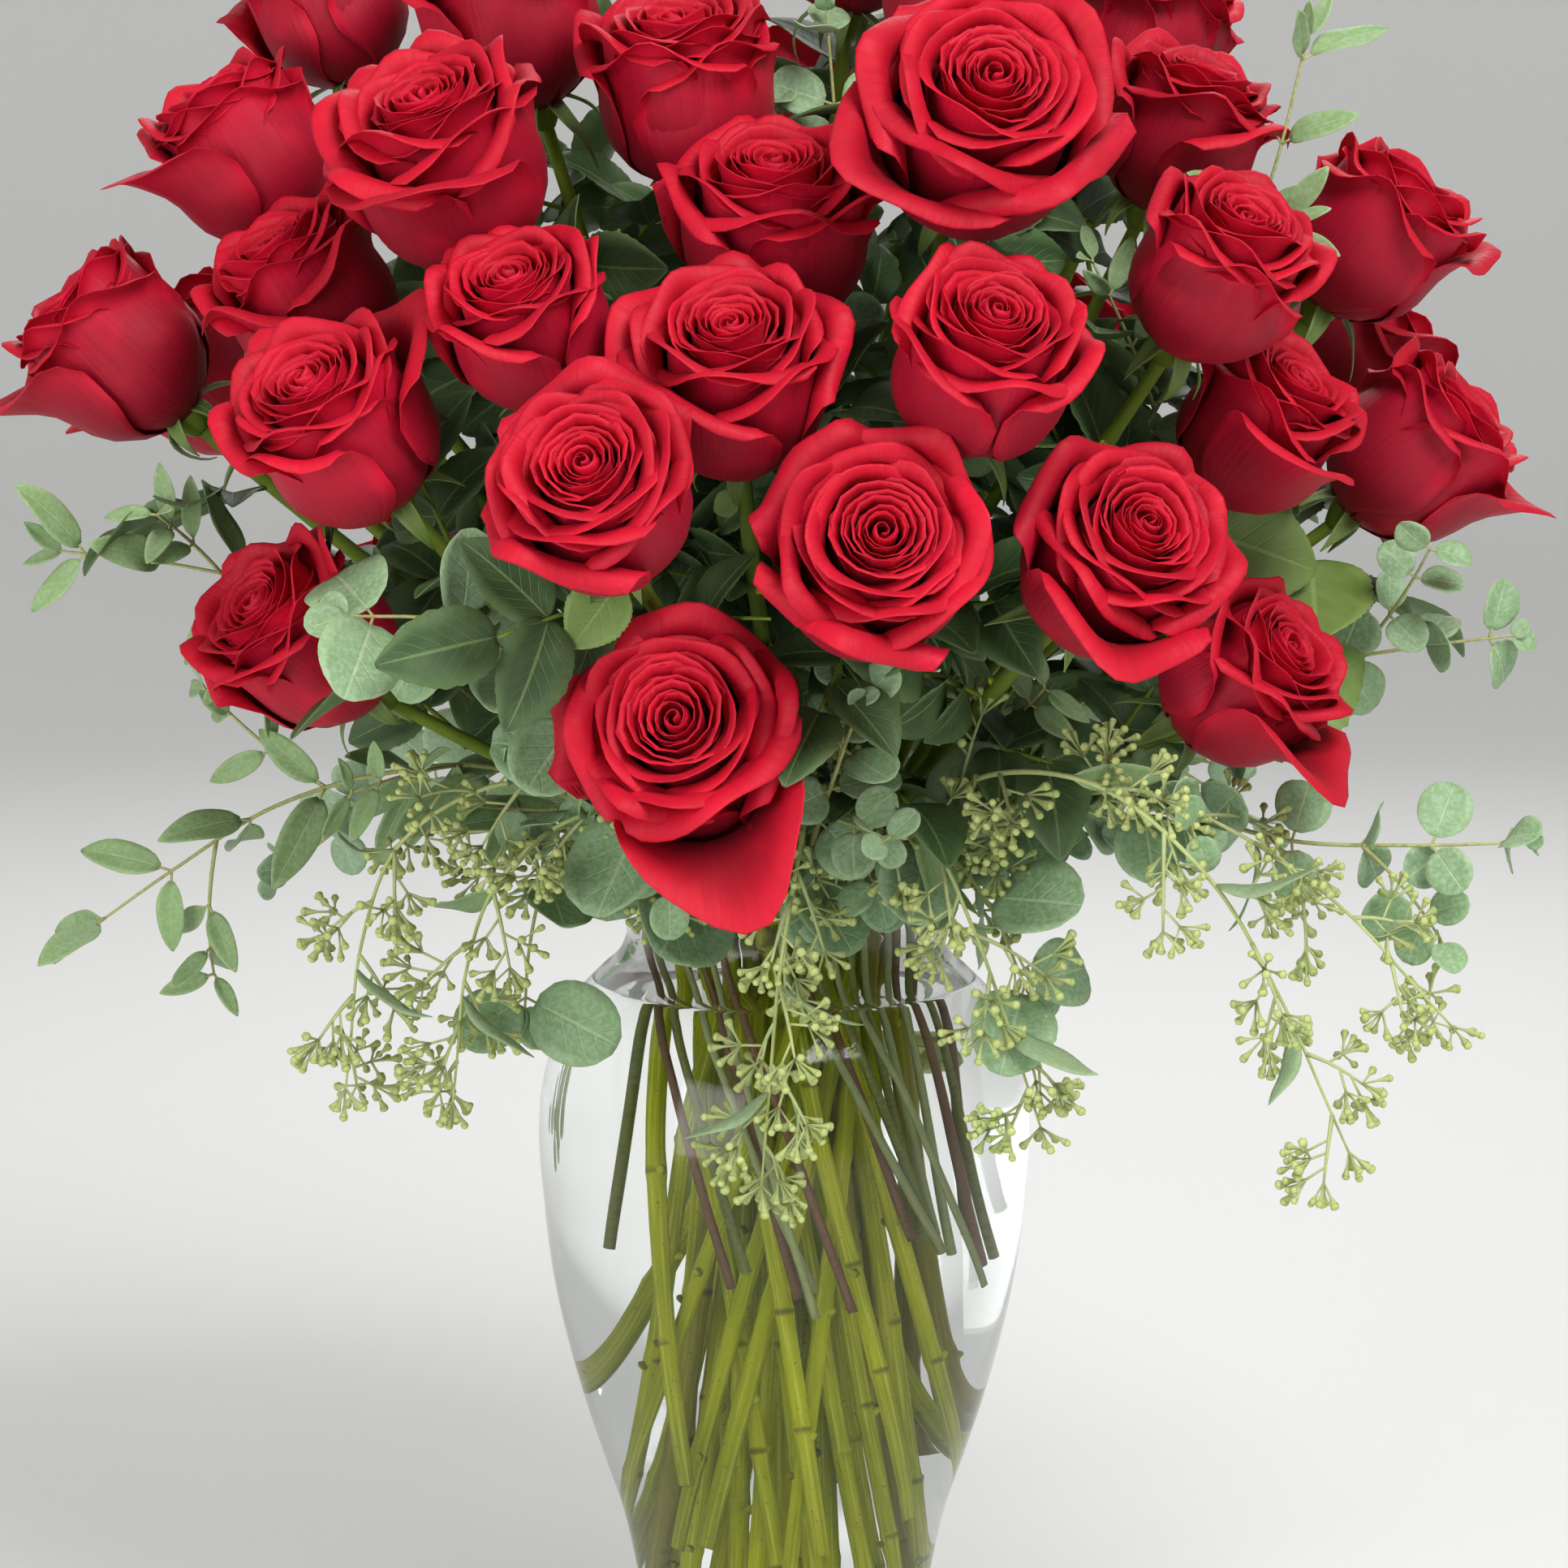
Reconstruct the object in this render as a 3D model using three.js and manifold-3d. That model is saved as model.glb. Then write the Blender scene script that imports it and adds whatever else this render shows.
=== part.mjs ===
// Long-stemmed roses with seeded and round-leaved eucalyptus, standing in a clear urn vase.
// Millimetres, +Z up. The middle of the underside of the foot is the origin, and the front of the
// arrangement looks along -Y.

import * as THREE from "three";
import { mergeVertices } from "three/addons/utils/BufferGeometryUtils.js";
import Module from "manifold-3d";

const wasm = await Module();
wasm.setup();

// ---- driving dimensions -----------------------------------------------------------------------

// The vase's outer wall as [radius, height], from the foot up to the top of the rim.
const VASE_OUTER = [
  [46.4, 0], [47.8, 1.6], [47.8, 4.5], [45.6, 9.5], [43.2, 18], [42.4, 29], [43.2, 41], [46.1, 55.5],
  [50.6, 76], [56.8, 94.5], [62.8, 113], [68, 132], [72, 151], [74.9, 175], [76.3, 198], [75.2, 211],
  [71.8, 224.5], [65.8, 238], [57, 247.5], [50.6, 254], [48.8, 261], [49.9, 265], [49.7, 269], [48.2, 271],
];
// The inside of the vase as [radius, height], from the rim down to the middle of its floor.
const VASE_INNER = [
  [46, 270.4], [45, 268], [44.8, 257], [47.2, 252.4], [53.8, 246], [62.6, 236.4], [68.4, 223.4],
  [71.8, 210.6], [72.9, 198], [71.6, 175], [68.7, 151], [64.8, 132], [59.6, 113], [53.6, 94.5],
  [47.4, 76], [42.9, 55.5], [40, 41], [39, 29], [35, 19.5], [26, 15], [0, 14],
];
const VASE_SIDES = 26;

// The neck, where every stem passes.
const NECK_HEIGHT = 258;
const NECK_RADIUS = 44.8;
const BELLY_RADIUS = 76.3;
const SHOULDER_HEIGHT = 225;
const ROSE_NECK_REACH = 37;
const RIM_PASS = 280;

// A stem turns about the vase's axis on its way up, as in a hand-tied spiral bunch. Below the neck,
// one rose stem in three turns the other way, across the rest.
const TWIST_ABOVE = 0.5;
const TWIST_BELOW = 1.4;
const SPRIG_TWIST = 1.3;

// Clearances between solids.
const WALL_GAP = 0.35;
const STEM_GAP = 1.3;
const PART_GAP = 0.45;

// The point that the blooms face away from.
const HUB = new THREE.Vector3(0, 0, 238);

// The front view the blooms are laid out in: its eye stands this far from the view plane's centre,
// raised by this angle.
const VIEW = { distance: 1600, centre: 305, raised: THREE.MathUtils.degToRad(8) };

// Front roses: across and up in the front view, place in depth (-Y is nearest), radius, and how far
// the bloom leans towards the viewer.
const FRONT_ROSES = [
  [-141, 240, -2, 29, 0], [-83, 238, -42, 33, 0], [-31, 214, -84, 32, 0], [60, 203, -138, 37, 0.42],
  [55, 246, -66, 29, 0], [112, 231, -10, 29, 0], [122, 201, -68, 28, 0], [-166, 195, -42, 31, 0],
  [-103, 191, -118, 35, 0.1], [-3, 170, -116, 33, 0], [133, 158, -124, 30, 0], [182, 169, -42, 30, 0],
  [-205, 134, -38, 32, 0], [-146, 149, -80, 31, 0], [-79, 141, -146, 28, 0], [-15, 124, -160, 32, 0],
  [61, 129, -172, 31, 0], [-136, 109, -138, 32, 0], [-57, 88, -197, 31, 0.12], [28, 70, -176, 33, 0.3],
  [147, 110, -90, 29, 0], [195, 102, -38, 31, 0], [-147, 44, -98, 32, 0], [102, 69, -150, 32, 0.12],
  [142, 32, -92, 29, 0], [-30, 13, -152, 35, 0.15],
];
// Roses at the top and the back, as their places and radii.
const BACK_ROSES = [
  [20, -14, 566, 30], [-36, 38, 574, 31], [56, 52, 560, 31], [108, 60, 505, 30], [0, 100, 508, 31],
  [-108, 60, 505, 30], [176, 36, 432, 31], [84, 118, 430, 32], [-84, 118, 430, 31], [-178, 36, 430, 31],
  [118, 80, 352, 31], [2, 118, 352, 32], [-118, 80, 350, 30],
];
const ROSE_STEM = 2.7;

// Spacing of the bends of a stem below the neck, and the number of bends above it.
const LOW_STEP = 58;
const ROSE_BENDS = 4;
const SPRIG_BENDS = 6;
const ROSE_SIDES = 5;
const SPRIG_SIDES = 4;

// Bloom outline as [part of the radius, part of the height], from the hip to the heart.
const BLOOM_HEIGHT = 1.62;
const BLOOM_OUTLINE = [
  [0, 0], [0.2, 0.03], [0.62, 0.24], [0.86, 0.52], [1, 0.78], [0.76, 0.88], [0.62, 0.84], [0.42, 0.97],
  [0, 1],
];
const BLOOM_SIDES = 8;

// Greenery: its kind and the points that it is led through after the neck, as across, up and depth
// in the front view.
const SPRIGS = [
  ["dollar_right_high", "round", [[104, 14, -34], [160, 36, -38], [226, 46, -40]]],
  ["dollar_right_low", "round", [[92, -4, -74], [160, -18, -84], [230, -18, -86]]],
  ["seeded_right_long", "seeded", [[80, 6, -112], [132, -30, -124], [170, -104, -118]]],
  ["seeded_right_outer", "seeded", [[104, -2, -98], [160, -28, -104], [198, -66, -100]]],
  ["seeded_front_right", "seeded", [[36, -6, -94], [58, -44, -104], [76, -96, -100]]],
  ["seeded_front_centre", "seeded", [[8, -12, -92], [0, -52, -104], [-6, -112, -102]]],
  ["seeded_left_outer", "seeded", [[-76, 4, -88], [-122, -22, -96], [-134, -82, -92]]],
  ["seeded_left_inner", "seeded", [[-56, -6, -86], [-92, -36, -92], [-101, -86, -90]]],
  ["willow_left_low", "willow", [[-84, 4, -44], [-150, -4, -48], [-216, -46, -50]]],
  ["dollar_neck_left", "round", [[-50, -10, -62], [-74, -34, -68], [-80, -70, -68]]],
  ["dollar_neck_right", "round", [[38, -14, -84], [58, -30, -88], [76, -66, -86]]],
  ["willow_left_high", "willow", [[-108, 36, -42], [-160, 62, -46], [-224, 72, -48]]],
  ["dollar_left_front", "round", [[-66, 22, -126], [-96, 48, -146], [-136, 52, -152]]],
  ["dollar_top", "round", [[10, 120, -60], [16, 196, -70], [13, 240, -76]]],
  ["willow_right_top", "willow", [[110, 110, -60], [146, 176, -84], [162, 232, -86]]],
  ["dollar_front_centre", "round", [[16, 4, -112], [24, 22, -132], [24, 26, -146]]],
  ["dollar_back_left", "round", [[-60, 12, 92], [-110, 4, 132], [-158, -30, 140]]],
  ["seeded_back", "seeded", [[6, 0, 96], [14, -30, 118], [16, -92, 116]]],
  ["dollar_back_right", "round", [[58, 14, 92], [104, 14, 132], [152, -16, 140]]],
];
const SPRIG_STEM = { round: 1.5, willow: 1.4, seeded: 1.3 };
const SPRIG_END_HEIGHT = 150;

// Leaves and bud clusters on a sprig.
const LEAVES = {
  round: {
    count: 7, length: 25, width: 22, tilt: 0.9, outline: [[0, 0.05], [0.25, 0.42], [0.72, 0.46], [1, 0.1]],
  },
  willow: { count: 7, length: 34, width: 11, tilt: 1.2, outline: [[0, 0.06], [0.4, 0.5], [1, 0.05]] },
};
const FIRST_LEAF = 0.12;
const LEAF_THICKNESS = 0.9;
const CLUSTERS = { count: 7, first: 0.14, reach: 13, radius: 5.4 };
const ROSE_LEAF = { length: 40, width: 25, outline: [[0, 0.06], [0.4, 0.5], [1, 0.03]] };

const LOOKS = {
  vase: { color: 0xe6ecea, roughness: 0.05, metalness: 0, transparent: true, opacity: 0.35 },
  rose: { color: 0xa3101f, roughness: 0.6, metalness: 0 },
  round: { color: 0x7f9a83, roughness: 0.65, metalness: 0 },
  willow: { color: 0x7d9678, roughness: 0.65, metalness: 0 },
  seeded: { color: 0x9db060, roughness: 0.6, metalness: 0 },
};

// ---- solids -----------------------------------------------------------------------------------

// Turns a three.js geometry into a closed manifold solid.
function solid(geometry) {
  const bare = geometry.clone();
  bare.deleteAttribute("normal");
  bare.deleteAttribute("uv");
  const welded = mergeVertices(bare, 1e-3);
  const corners = Float32Array.from(welded.attributes.position.array);
  const triangles = Uint32Array.from(welded.index.array);
  return new wasm.Manifold(new wasm.Mesh({ numProp: 3, vertProperties: corners, triVerts: triangles }));
}

// Revolves a [radius, height] outline, given anticlockwise about the inside, around +Z.
function lathe(outline, sides) {
  const points = outline.map(([radius, height]) => new THREE.Vector2(radius, height));
  return new THREE.LatheGeometry(points, sides).rotateX(Math.PI / 2);
}

// A course of straight pieces through a list of points, with a mitre at each bend.
class Course extends THREE.Curve {
  constructor(points) {
    super();
    this.points = points;
  }

  getPointAt(part) {
    return this.points[Math.round(part * (this.points.length - 1))].clone();
  }

  getTangentAt(part) {
    const at = Math.round(part * (this.points.length - 1));
    const before = this.points[Math.max(0, at - 1)];
    const after = this.points[Math.min(this.points.length - 1, at + 1)];
    return after.clone().sub(before).normalize();
  }
}

// A round bar along a list of points.
function bar(points, radius, sides) {
  const section = new THREE.Shape();
  for (let i = 0; i < sides; i += 1) {
    const angle = (2 * Math.PI * i) / sides;
    const [x, y] = [radius * Math.cos(angle), radius * Math.sin(angle)];
    if (i === 0) {
      section.moveTo(x, y);
    } else {
      section.lineTo(x, y);
    }
  }
  section.closePath();
  const settings = { steps: points.length - 1, extrudePath: new Course(points), bevelEnabled: false };
  return solid(new THREE.ExtrudeGeometry(section, settings));
}

// A number in 0..1 that is spread evenly over whole numbers.
function spread(index) {
  const turned = (index + 1) * 0.6180339887;
  return turned - Math.floor(turned);
}

// The point of the object seen at a place in the front view, at a given depth.
function seen(across, up, depth) {
  const { distance, centre, raised } = VIEW;
  const [c, s] = [Math.cos(raised), Math.sin(raised)];
  const rise = (up * (1 + (depth * c) / distance) - depth * s) / (c + (up * s) / distance);
  const away = depth * c - rise * s;
  return new THREE.Vector3(across * (1 + away / distance), depth, centre + rise);
}

// Inner radius of the vase at a height, on the flats of its faceted wall.
function innerRadius(height) {
  for (let i = 1; i < VASE_INNER.length; i += 1) {
    const [upper, lower] = [VASE_INNER[i - 1], VASE_INNER[i]];
    if (height <= upper[1] && height >= lower[1]) {
      const part = (upper[1] - height) / (upper[1] - lower[1]);
      return (upper[0] + (lower[0] - upper[0]) * part) * Math.cos(Math.PI / VASE_SIDES);
    }
  }
  return height > VASE_INNER[0][1] ? Infinity : 0;
}

// ---- the course of each stem ------------------------------------------------------------------

// Where a stem that heads for a point passes the neck: the lower it heads, the nearer the rim.
function neckPlace(target) {
  const way = target.clone().sub(HUB);
  const polar = Math.atan2(Math.hypot(way.x, way.y), way.z);
  const azimuth = Math.atan2(way.y, way.x) + TWIST_ABOVE;
  const out = ROSE_NECK_REACH * Math.min(1, polar / 1.15);
  return new THREE.Vector3(out * Math.cos(azimuth), out * Math.sin(azimuth), NECK_HEIGHT);
}

// The straight run of a stem below the neck, from its foot up, before stems are moved apart.
function lowerRun(neck, index, foot, twist) {
  const out = Math.hypot(neck.x, neck.y);
  const azimuth = Math.atan2(neck.y, neck.x) + twist + 0.5 * (spread(index) - 0.5);
  const reach = out * (1.2 + spread(3 * index + 1));
  const low = new THREE.Vector3(reach * Math.cos(azimuth), reach * Math.sin(azimuth), 60);
  const points = [];
  for (let height = foot; height < NECK_HEIGHT - 20; height += LOW_STEP) {
    points.push(neck.clone().lerp(low, (NECK_HEIGHT - height) / (NECK_HEIGHT - 60)));
  }
  return points;
}

// A smooth run from the neck to a point, leaving along one direction and arriving along another.
function upperRun(neck, leaving, target, arriving, count) {
  const length = neck.distanceTo(target);
  const first = neck.clone().addScaledVector(leaving, length * 0.28);
  const second = target.clone().addScaledVector(arriving, -length * 0.33);
  return new THREE.CubicBezierCurve3(neck, first, second, target).getPoints(count).slice(1);
}

// Plans a rose: its heading, the centre of its hip and the points of its stem.
function planRose(name, place, radius, lean, index) {
  const heading = place.clone().sub(HUB).normalize();
  heading.add(new THREE.Vector3(0, -lean, -0.6 * lean)).normalize();
  const height = radius * BLOOM_HEIGHT;
  const hip = place.clone().addScaledVector(heading, -0.55 * height);
  const neck = neckPlace(place);
  const twist = index % 3 === 1 ? -TWIST_BELOW : TWIST_BELOW;
  const low = lowerRun(neck, index, 20, twist);
  const leaving = neck.clone().sub(low[low.length - 1]).normalize();
  const high = upperRun(neck, leaving, hip, heading, ROSE_BENDS);
  const points = [...low, neck, ...high];
  const neckAt = low.length;
  return { name, kind: "rose", radius: ROSE_STEM, bloom: radius, heading, hip, height, points, neckAt };
}

// Plans a sprig: its stem rests against the inside of the neck and then follows its given points.
function planSprig([name, kind, places], index) {
  const radius = SPRIG_STEM[kind];
  const ends = places.map((place) => seen(...place));
  const azimuth = Math.atan2(ends[0].y, ends[0].x);
  const held = NECK_RADIUS * Math.cos(Math.PI / VASE_SIDES) - 0.85 * radius - WALL_GAP;
  const neck = new THREE.Vector3(held * Math.cos(azimuth), held * Math.sin(azimuth), NECK_HEIGHT);
  const rim = neck.clone().setZ(RIM_PASS);
  const drape = new THREE.CatmullRomCurve3([rim, ...ends], false, "centripetal");
  const high = drape.getSpacedPoints(SPRIG_BENDS);
  const low = lowerRun(neck, index, SPRIG_END_HEIGHT + 20 * spread(index), SPRIG_TWIST);
  return { name, kind, radius, held, points: [...low, neck, ...high], neckAt: low.length };
}

// The nearest points of two straight pieces, as their parts along each, and the gap between them.
function nearest(a, b, c, d) {
  const [u, v, w] = [b.clone().sub(a), d.clone().sub(c), a.clone().sub(c)];
  const [uu, uv, vv, uw, vw] = [u.dot(u), u.dot(v), v.dot(v), u.dot(w), v.dot(w)];
  const size = uu * vv - uv * uv;
  let s = size > 1e-9 ? THREE.MathUtils.clamp((uv * vw - vv * uw) / size, 0, 1) : 0.5;
  const t = THREE.MathUtils.clamp((uv * s + vw) / vv, 0, 1);
  s = THREE.MathUtils.clamp((uv * t - uw) / uu, 0, 1);
  const apart = w.addScaledVector(u, s).addScaledVector(v, -t);
  return { s, t, apart, gap: apart.length() };
}

// Keeps a stem inside the vase's shoulder and neck on its way up, and outside it on its way down.
function keepClear(stem) {
  stem.points.forEach((point, at) => {
    const out = Math.hypot(point.x, point.y);
    const within = innerRadius(point.z) - stem.radius - 0.8;
    const beyond = BELLY_RADIUS + stem.radius + 6;
    let limit = out;
    if (at <= stem.neckAt && point.z > SHOULDER_HEIGHT) {
      limit = Math.min(out, within);
    } else if (at > stem.neckAt + 2 && point.z < RIM_PASS) {
      limit = Math.max(out, beyond);
    }
    point.x *= limit / out;
    point.y *= limit / out;
  });
}

// Whether two straight pieces overlap in height, give or take a margin.
function levels(a, b, c, d, margin) {
  const [low, high] = [Math.min(a.z, b.z), Math.max(a.z, b.z)];
  return low <= Math.max(c.z, d.z) + margin && Math.min(c.z, d.z) <= high + margin;
}

// Pushes two stems apart where they come too near each other.
function pushStems(first, second) {
  const wanted = first.radius + second.radius + STEM_GAP;
  for (let i = 1; i < first.points.length; i += 1) {
    const [a, b] = [first.points[i - 1], first.points[i]];
    for (let j = 1; j < second.points.length; j += 1) {
      const [c, d] = [second.points[j - 1], second.points[j]];
      if (!levels(a, b, c, d, wanted)) {
        continue;
      }
      const { s, t, apart, gap } = nearest(a, b, c, d);
      if (gap >= wanted || gap < 1e-6) {
        continue;
      }
      const step = apart.multiplyScalar((0.5 * (wanted - gap)) / gap);
      shift(first, i - 1, 1 - s, step, 1);
      shift(first, i, s, step, 1);
      shift(second, j - 1, 1 - t, step, -1);
      shift(second, j, t, step, -1);
    }
  }
}

// Moves one point of a stem, except the last, which holds the bloom or the tip. A sprig's place at
// the neck only slides round the wall.
function shift(stem, at, share, step, sign) {
  if (at === stem.points.length - 1) {
    return;
  }
  const point = stem.points[at].addScaledVector(step, sign * share);
  if (stem.held && at === stem.neckAt) {
    point.setZ(0).setLength(stem.held).setZ(NECK_HEIGHT);
  }
}

// Pushes a stem's points out of another rose's bloom, taken as a ball.
function pushFromBloom(stem, rose) {
  const centre = rose.hip.clone().addScaledVector(rose.heading, 0.6 * rose.height);
  const wanted = rose.bloom * 1.02 + stem.radius + 1.5;
  for (let i = 1; i < stem.points.length; i += 1) {
    const beside = centre.clone().addScalar(0.01);
    const { s, apart, gap } = nearest(stem.points[i - 1], stem.points[i], centre, beside);
    if (gap < wanted && gap > 1e-6) {
      const step = apart.multiplyScalar((0.6 * (wanted - gap)) / gap);
      shift(stem, i - 1, 1 - s, step, 1);
      shift(stem, i, s, step, 1);
    }
  }
}

// Moves all stems apart, in a fixed number of rounds, keeping each one's course smooth.
function untangle(stems, rounds) {
  const starts = stems.map((stem) => stem.points.map((point) => point.clone()));
  for (let round = 0; round < rounds; round += 1) {
    for (let i = 0; i < stems.length; i += 1) {
      for (let j = i + 1; j < stems.length; j += 1) {
        pushStems(stems[i], stems[j]);
      }
      for (const rose of stems) {
        if (rose.kind === "rose" && rose !== stems[i]) {
          pushFromBloom(stems[i], rose);
        }
      }
    }
    stems.forEach((stem, index) => {
      smooth(stem, starts[index]);
      keepClear(stem);
    });
  }
}

// Evens out how far a stem has moved from where it started.
function smooth(stem, start) {
  const moved = stem.points.map((point, i) => point.clone().sub(start[i]));
  for (let i = 1; i < moved.length - 1; i += 1) {
    const even = moved[i - 1].clone().add(moved[i + 1]).multiplyScalar(0.5);
    shift(stem, i, 0.12, even.sub(moved[i]), 1);
  }
}

// Least gap between the cut end of a stem and the vase's inside.
function endClearance(point, way, radius) {
  const side = new THREE.Vector3(1, 0, 0).cross(way).normalize();
  const other = way.clone().cross(side);
  let least = Infinity;
  for (let i = 0; i < 12; i += 1) {
    const angle = (Math.PI * i) / 6;
    const edge = point.clone().addScaledVector(side, radius * Math.cos(angle));
    edge.addScaledVector(other, radius * Math.sin(angle));
    const wall = edge.z > 14 ? innerRadius(edge.z) - Math.hypot(edge.x, edge.y) : -1;
    least = Math.min(least, wall, edge.z - 14);
  }
  return least;
}

// Ends a rose stem where its cut end comes to rest on the vase's wall or floor.
function restEnd(stem) {
  const { points, radius } = stem;
  let first = points.length - 1;
  while (first > 0 && (points[first].z > 250 || clearOfWall(points[first], points[first + 1], radius))) {
    first -= 1;
  }
  const upper = points[first + 1];
  const way = points[first].clone().sub(upper).normalize();
  let [inside, outside] = [0, upper.distanceTo(points[first]) + 60];
  for (let i = 0; i < 30; i += 1) {
    const middle = (inside + outside) / 2;
    const clear = endClearance(upper.clone().addScaledVector(way, middle), way, radius) > WALL_GAP;
    [inside, outside] = clear ? [middle, outside] : [inside, middle];
  }
  const end = upper.clone().addScaledVector(way, inside);
  const inBloom = stem.hip.clone().addScaledVector(stem.heading, 0.12 * stem.height);
  stem.points = [end, ...points.slice(first + (inside < 12 ? 2 : 1)), inBloom];
}

// Whether a stem at a point is clear of the vase's inside.
function clearOfWall(point, next, radius) {
  return endClearance(point, point.clone().sub(next).normalize(), radius) > 3;
}

// Slides a sprig's place in the neck outwards until it rests against the wall.
function leanOnRim(sprig, vaseSolid) {
  const gap = bar(sprig.points, sprig.radius, SPRIG_SIDES).minGap(vaseSolid, 4);
  const point = sprig.points[sprig.neckAt];
  point.setZ(0).setLength(Math.hypot(point.x, point.y) + gap - WALL_GAP).setZ(NECK_HEIGHT);
}

// ---- building each node -----------------------------------------------------------------------

// The bloom as a cup of outer petals around a closed heart.
function bloomSolid(rose) {
  const outline = BLOOM_OUTLINE.map(([out, up]) => [out * rose.bloom, up * rose.height]);
  const turn = new THREE.Quaternion().setFromUnitVectors(new THREE.Vector3(0, 0, 1), rose.heading);
  const geometry = lathe(outline, BLOOM_SIDES).applyQuaternion(turn);
  return solid(geometry.translate(rose.hip.x, rose.hip.y, rose.hip.z));
}

// The rose's stem and its bloom in one piece.
function roseSolid(rose) {
  return bar(rose.points, rose.radius, ROSE_SIDES).add(bloomSolid(rose));
}

// A flat leaf of a given half outline, growing from its stalk end along one direction.
function leafSolid(root, along, across, { length, width, outline }, size) {
  const shape = new THREE.Shape();
  const rim = [...outline, ...outline.map(([x, y]) => [x, -y]).reverse()];
  rim.forEach(([x, y], i) => {
    if (i === 0) {
      shape.moveTo(x * length * size, y * width * size);
    } else {
      shape.lineTo(x * length * size, y * width * size);
    }
  });
  shape.closePath();
  const blade = new THREE.ExtrudeGeometry(shape, { depth: LEAF_THICKNESS, bevelEnabled: false });
  blade.translate(0, 0, -LEAF_THICKNESS / 2);
  const basis = new THREE.Matrix4().makeBasis(along, across, along.clone().cross(across));
  return solid(blade.applyMatrix4(basis.setPosition(root)));
}

// A place on a stem, as a part of its length above the bend numbered from: the point, the stem's
// direction there, and two directions square to it, turned about it by an angle.
function frameAt(points, from, part, angle) {
  const at = Math.min(points.length - 2, from + Math.floor(part * (points.length - 1 - from)));
  const along = part * (points.length - 1 - from) - (at - from);
  const root = points[at].clone().lerp(points[at + 1], along);
  const tangent = points[at + 1].clone().sub(points[at]).normalize();
  const flat = new THREE.Vector3(0, 0, 1).cross(tangent);
  const out = (flat.lengthSq() > 1e-6 ? flat.normalize() : flat.set(1, 0, 0)).applyAxisAngle(tangent, angle);
  return { root, tangent, out, side: out.clone().cross(tangent) };
}

// The leaves of a sprig, each turned about the stem from the last.
function sprigLeaves(sprig) {
  const kind = LEAVES[sprig.kind];
  return Array.from({ length: kind.count }, (_, i) => {
    const part = FIRST_LEAF + ((0.98 - FIRST_LEAF) * i) / (kind.count - 1);
    const { root, tangent, out, side } = frameAt(sprig.points, sprig.neckAt + 1, part, 2.4 * i);
    const along = out.clone().addScaledVector(tangent, 0.5).normalize();
    const across = side.multiplyScalar(Math.cos(kind.tilt));
    across.addScaledVector(tangent, Math.sin(kind.tilt));
    across.addScaledVector(along, -across.dot(along)).normalize();
    return leafSolid(root, along, across, kind, 1.1 - (0.45 * i) / (kind.count - 1));
  });
}

// The bud clusters of a seeded sprig: each a faceted head on a short stalk, the last on the tip.
function sprigClusters(sprig) {
  const { count, first, reach, radius } = CLUSTERS;
  return Array.from({ length: count }, (_, i) => {
    const part = first + ((1 - first) * i) / (count - 1);
    const { root, tangent, out } = frameAt(sprig.points, sprig.neckAt + 1, part, 2.4 * i);
    const atTip = i === count - 1;
    const way = atTip ? tangent : out.addScaledVector(tangent, 0.55).normalize();
    const head = root.clone().addScaledVector(way, atTip ? 0.5 * radius : reach);
    const ball = solid(new THREE.IcosahedronGeometry(radius, 0).translate(head.x, head.y, head.z));
    return atTip ? ball : bar([root, head], 0.8, 3).add(ball);
  });
}

// A rose's leaf, partway up the stem above the rim.
function roseLeaf(rose, index) {
  const part = 0.35 + 0.3 * spread(5 * index);
  const from = rose.points.length - 2 - ROSE_BENDS;
  const { root, tangent, out, side } = frameAt(rose.points, from, part, 2.4 * index);
  const along = out.clone().addScaledVector(tangent, 0.45).normalize();
  const across = side.addScaledVector(along, -side.dot(along)).normalize();
  return [leafSolid(root, along, across, ROSE_LEAF, 1)];
}

// Whether two solids' boxes come within the part gap of each other.
function boxesNear(a, b) {
  return [0, 1, 2].every((axis) => (
    a.min[axis] < b.max[axis] + PART_GAP && b.min[axis] < a.max[axis] + PART_GAP
  ));
}

// Adds each growth to its own solid where it is clear of all the other solids.
function grow(parts, own, growths) {
  for (const growth of growths) {
    const box = growth.boundingBox();
    const free = parts.every((part) => part === own || !boxesNear(box, part.solid.boundingBox())
      || growth.minGap(part.solid, PART_GAP * 2) >= PART_GAP);
    if (free) {
      own.solid = own.solid.add(growth);
    }
  }
}

// A named mesh of a solid with its look, placed at the foot of the part.
function toMesh({ name, kind, solid: shape, points }) {
  const { vertProperties, triVerts } = shape.getMesh();
  const foot = points ? points[0] : new THREE.Vector3();
  const geometry = new THREE.BufferGeometry();
  geometry.setAttribute("position", new THREE.BufferAttribute(Float32Array.from(vertProperties), 3));
  geometry.setIndex(new THREE.BufferAttribute(Uint32Array.from(triVerts), 1));
  geometry.translate(-foot.x, -foot.y, -foot.z);
  geometry.computeVertexNormals();
  const mesh = new THREE.Mesh(geometry, new THREE.MeshStandardMaterial(LOOKS[kind]));
  mesh.name = name;
  mesh.position.copy(foot);
  return mesh;
}

// ---- the arrangement --------------------------------------------------------------------------

const number = (index) => String(index + 1).padStart(2, "0");
const roses = [
  ...FRONT_ROSES.map(([across, up, depth, radius, lean], i) => (
    planRose(`rose_front_${number(i)}`, seen(across, up, depth), radius, lean, i)
  )),
  ...BACK_ROSES.map(([x, y, z, radius], i) => (
    planRose(`rose_back_${number(i)}`, new THREE.Vector3(x, y, z), radius, 0, i + FRONT_ROSES.length)
  )),
];
const sprigs = SPRIGS.map((sprig, i) => planSprig(sprig, i + roses.length));

const glass = lathe([[0, 0], ...VASE_OUTER, ...VASE_INNER], VASE_SIDES);
const vase = { name: "vase", kind: "vase", solid: solid(glass) };
untangle([...roses, ...sprigs], 60);
roses.forEach(restEnd);
sprigs.forEach((sprig) => leanOnRim(sprig, vase.solid));

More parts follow.
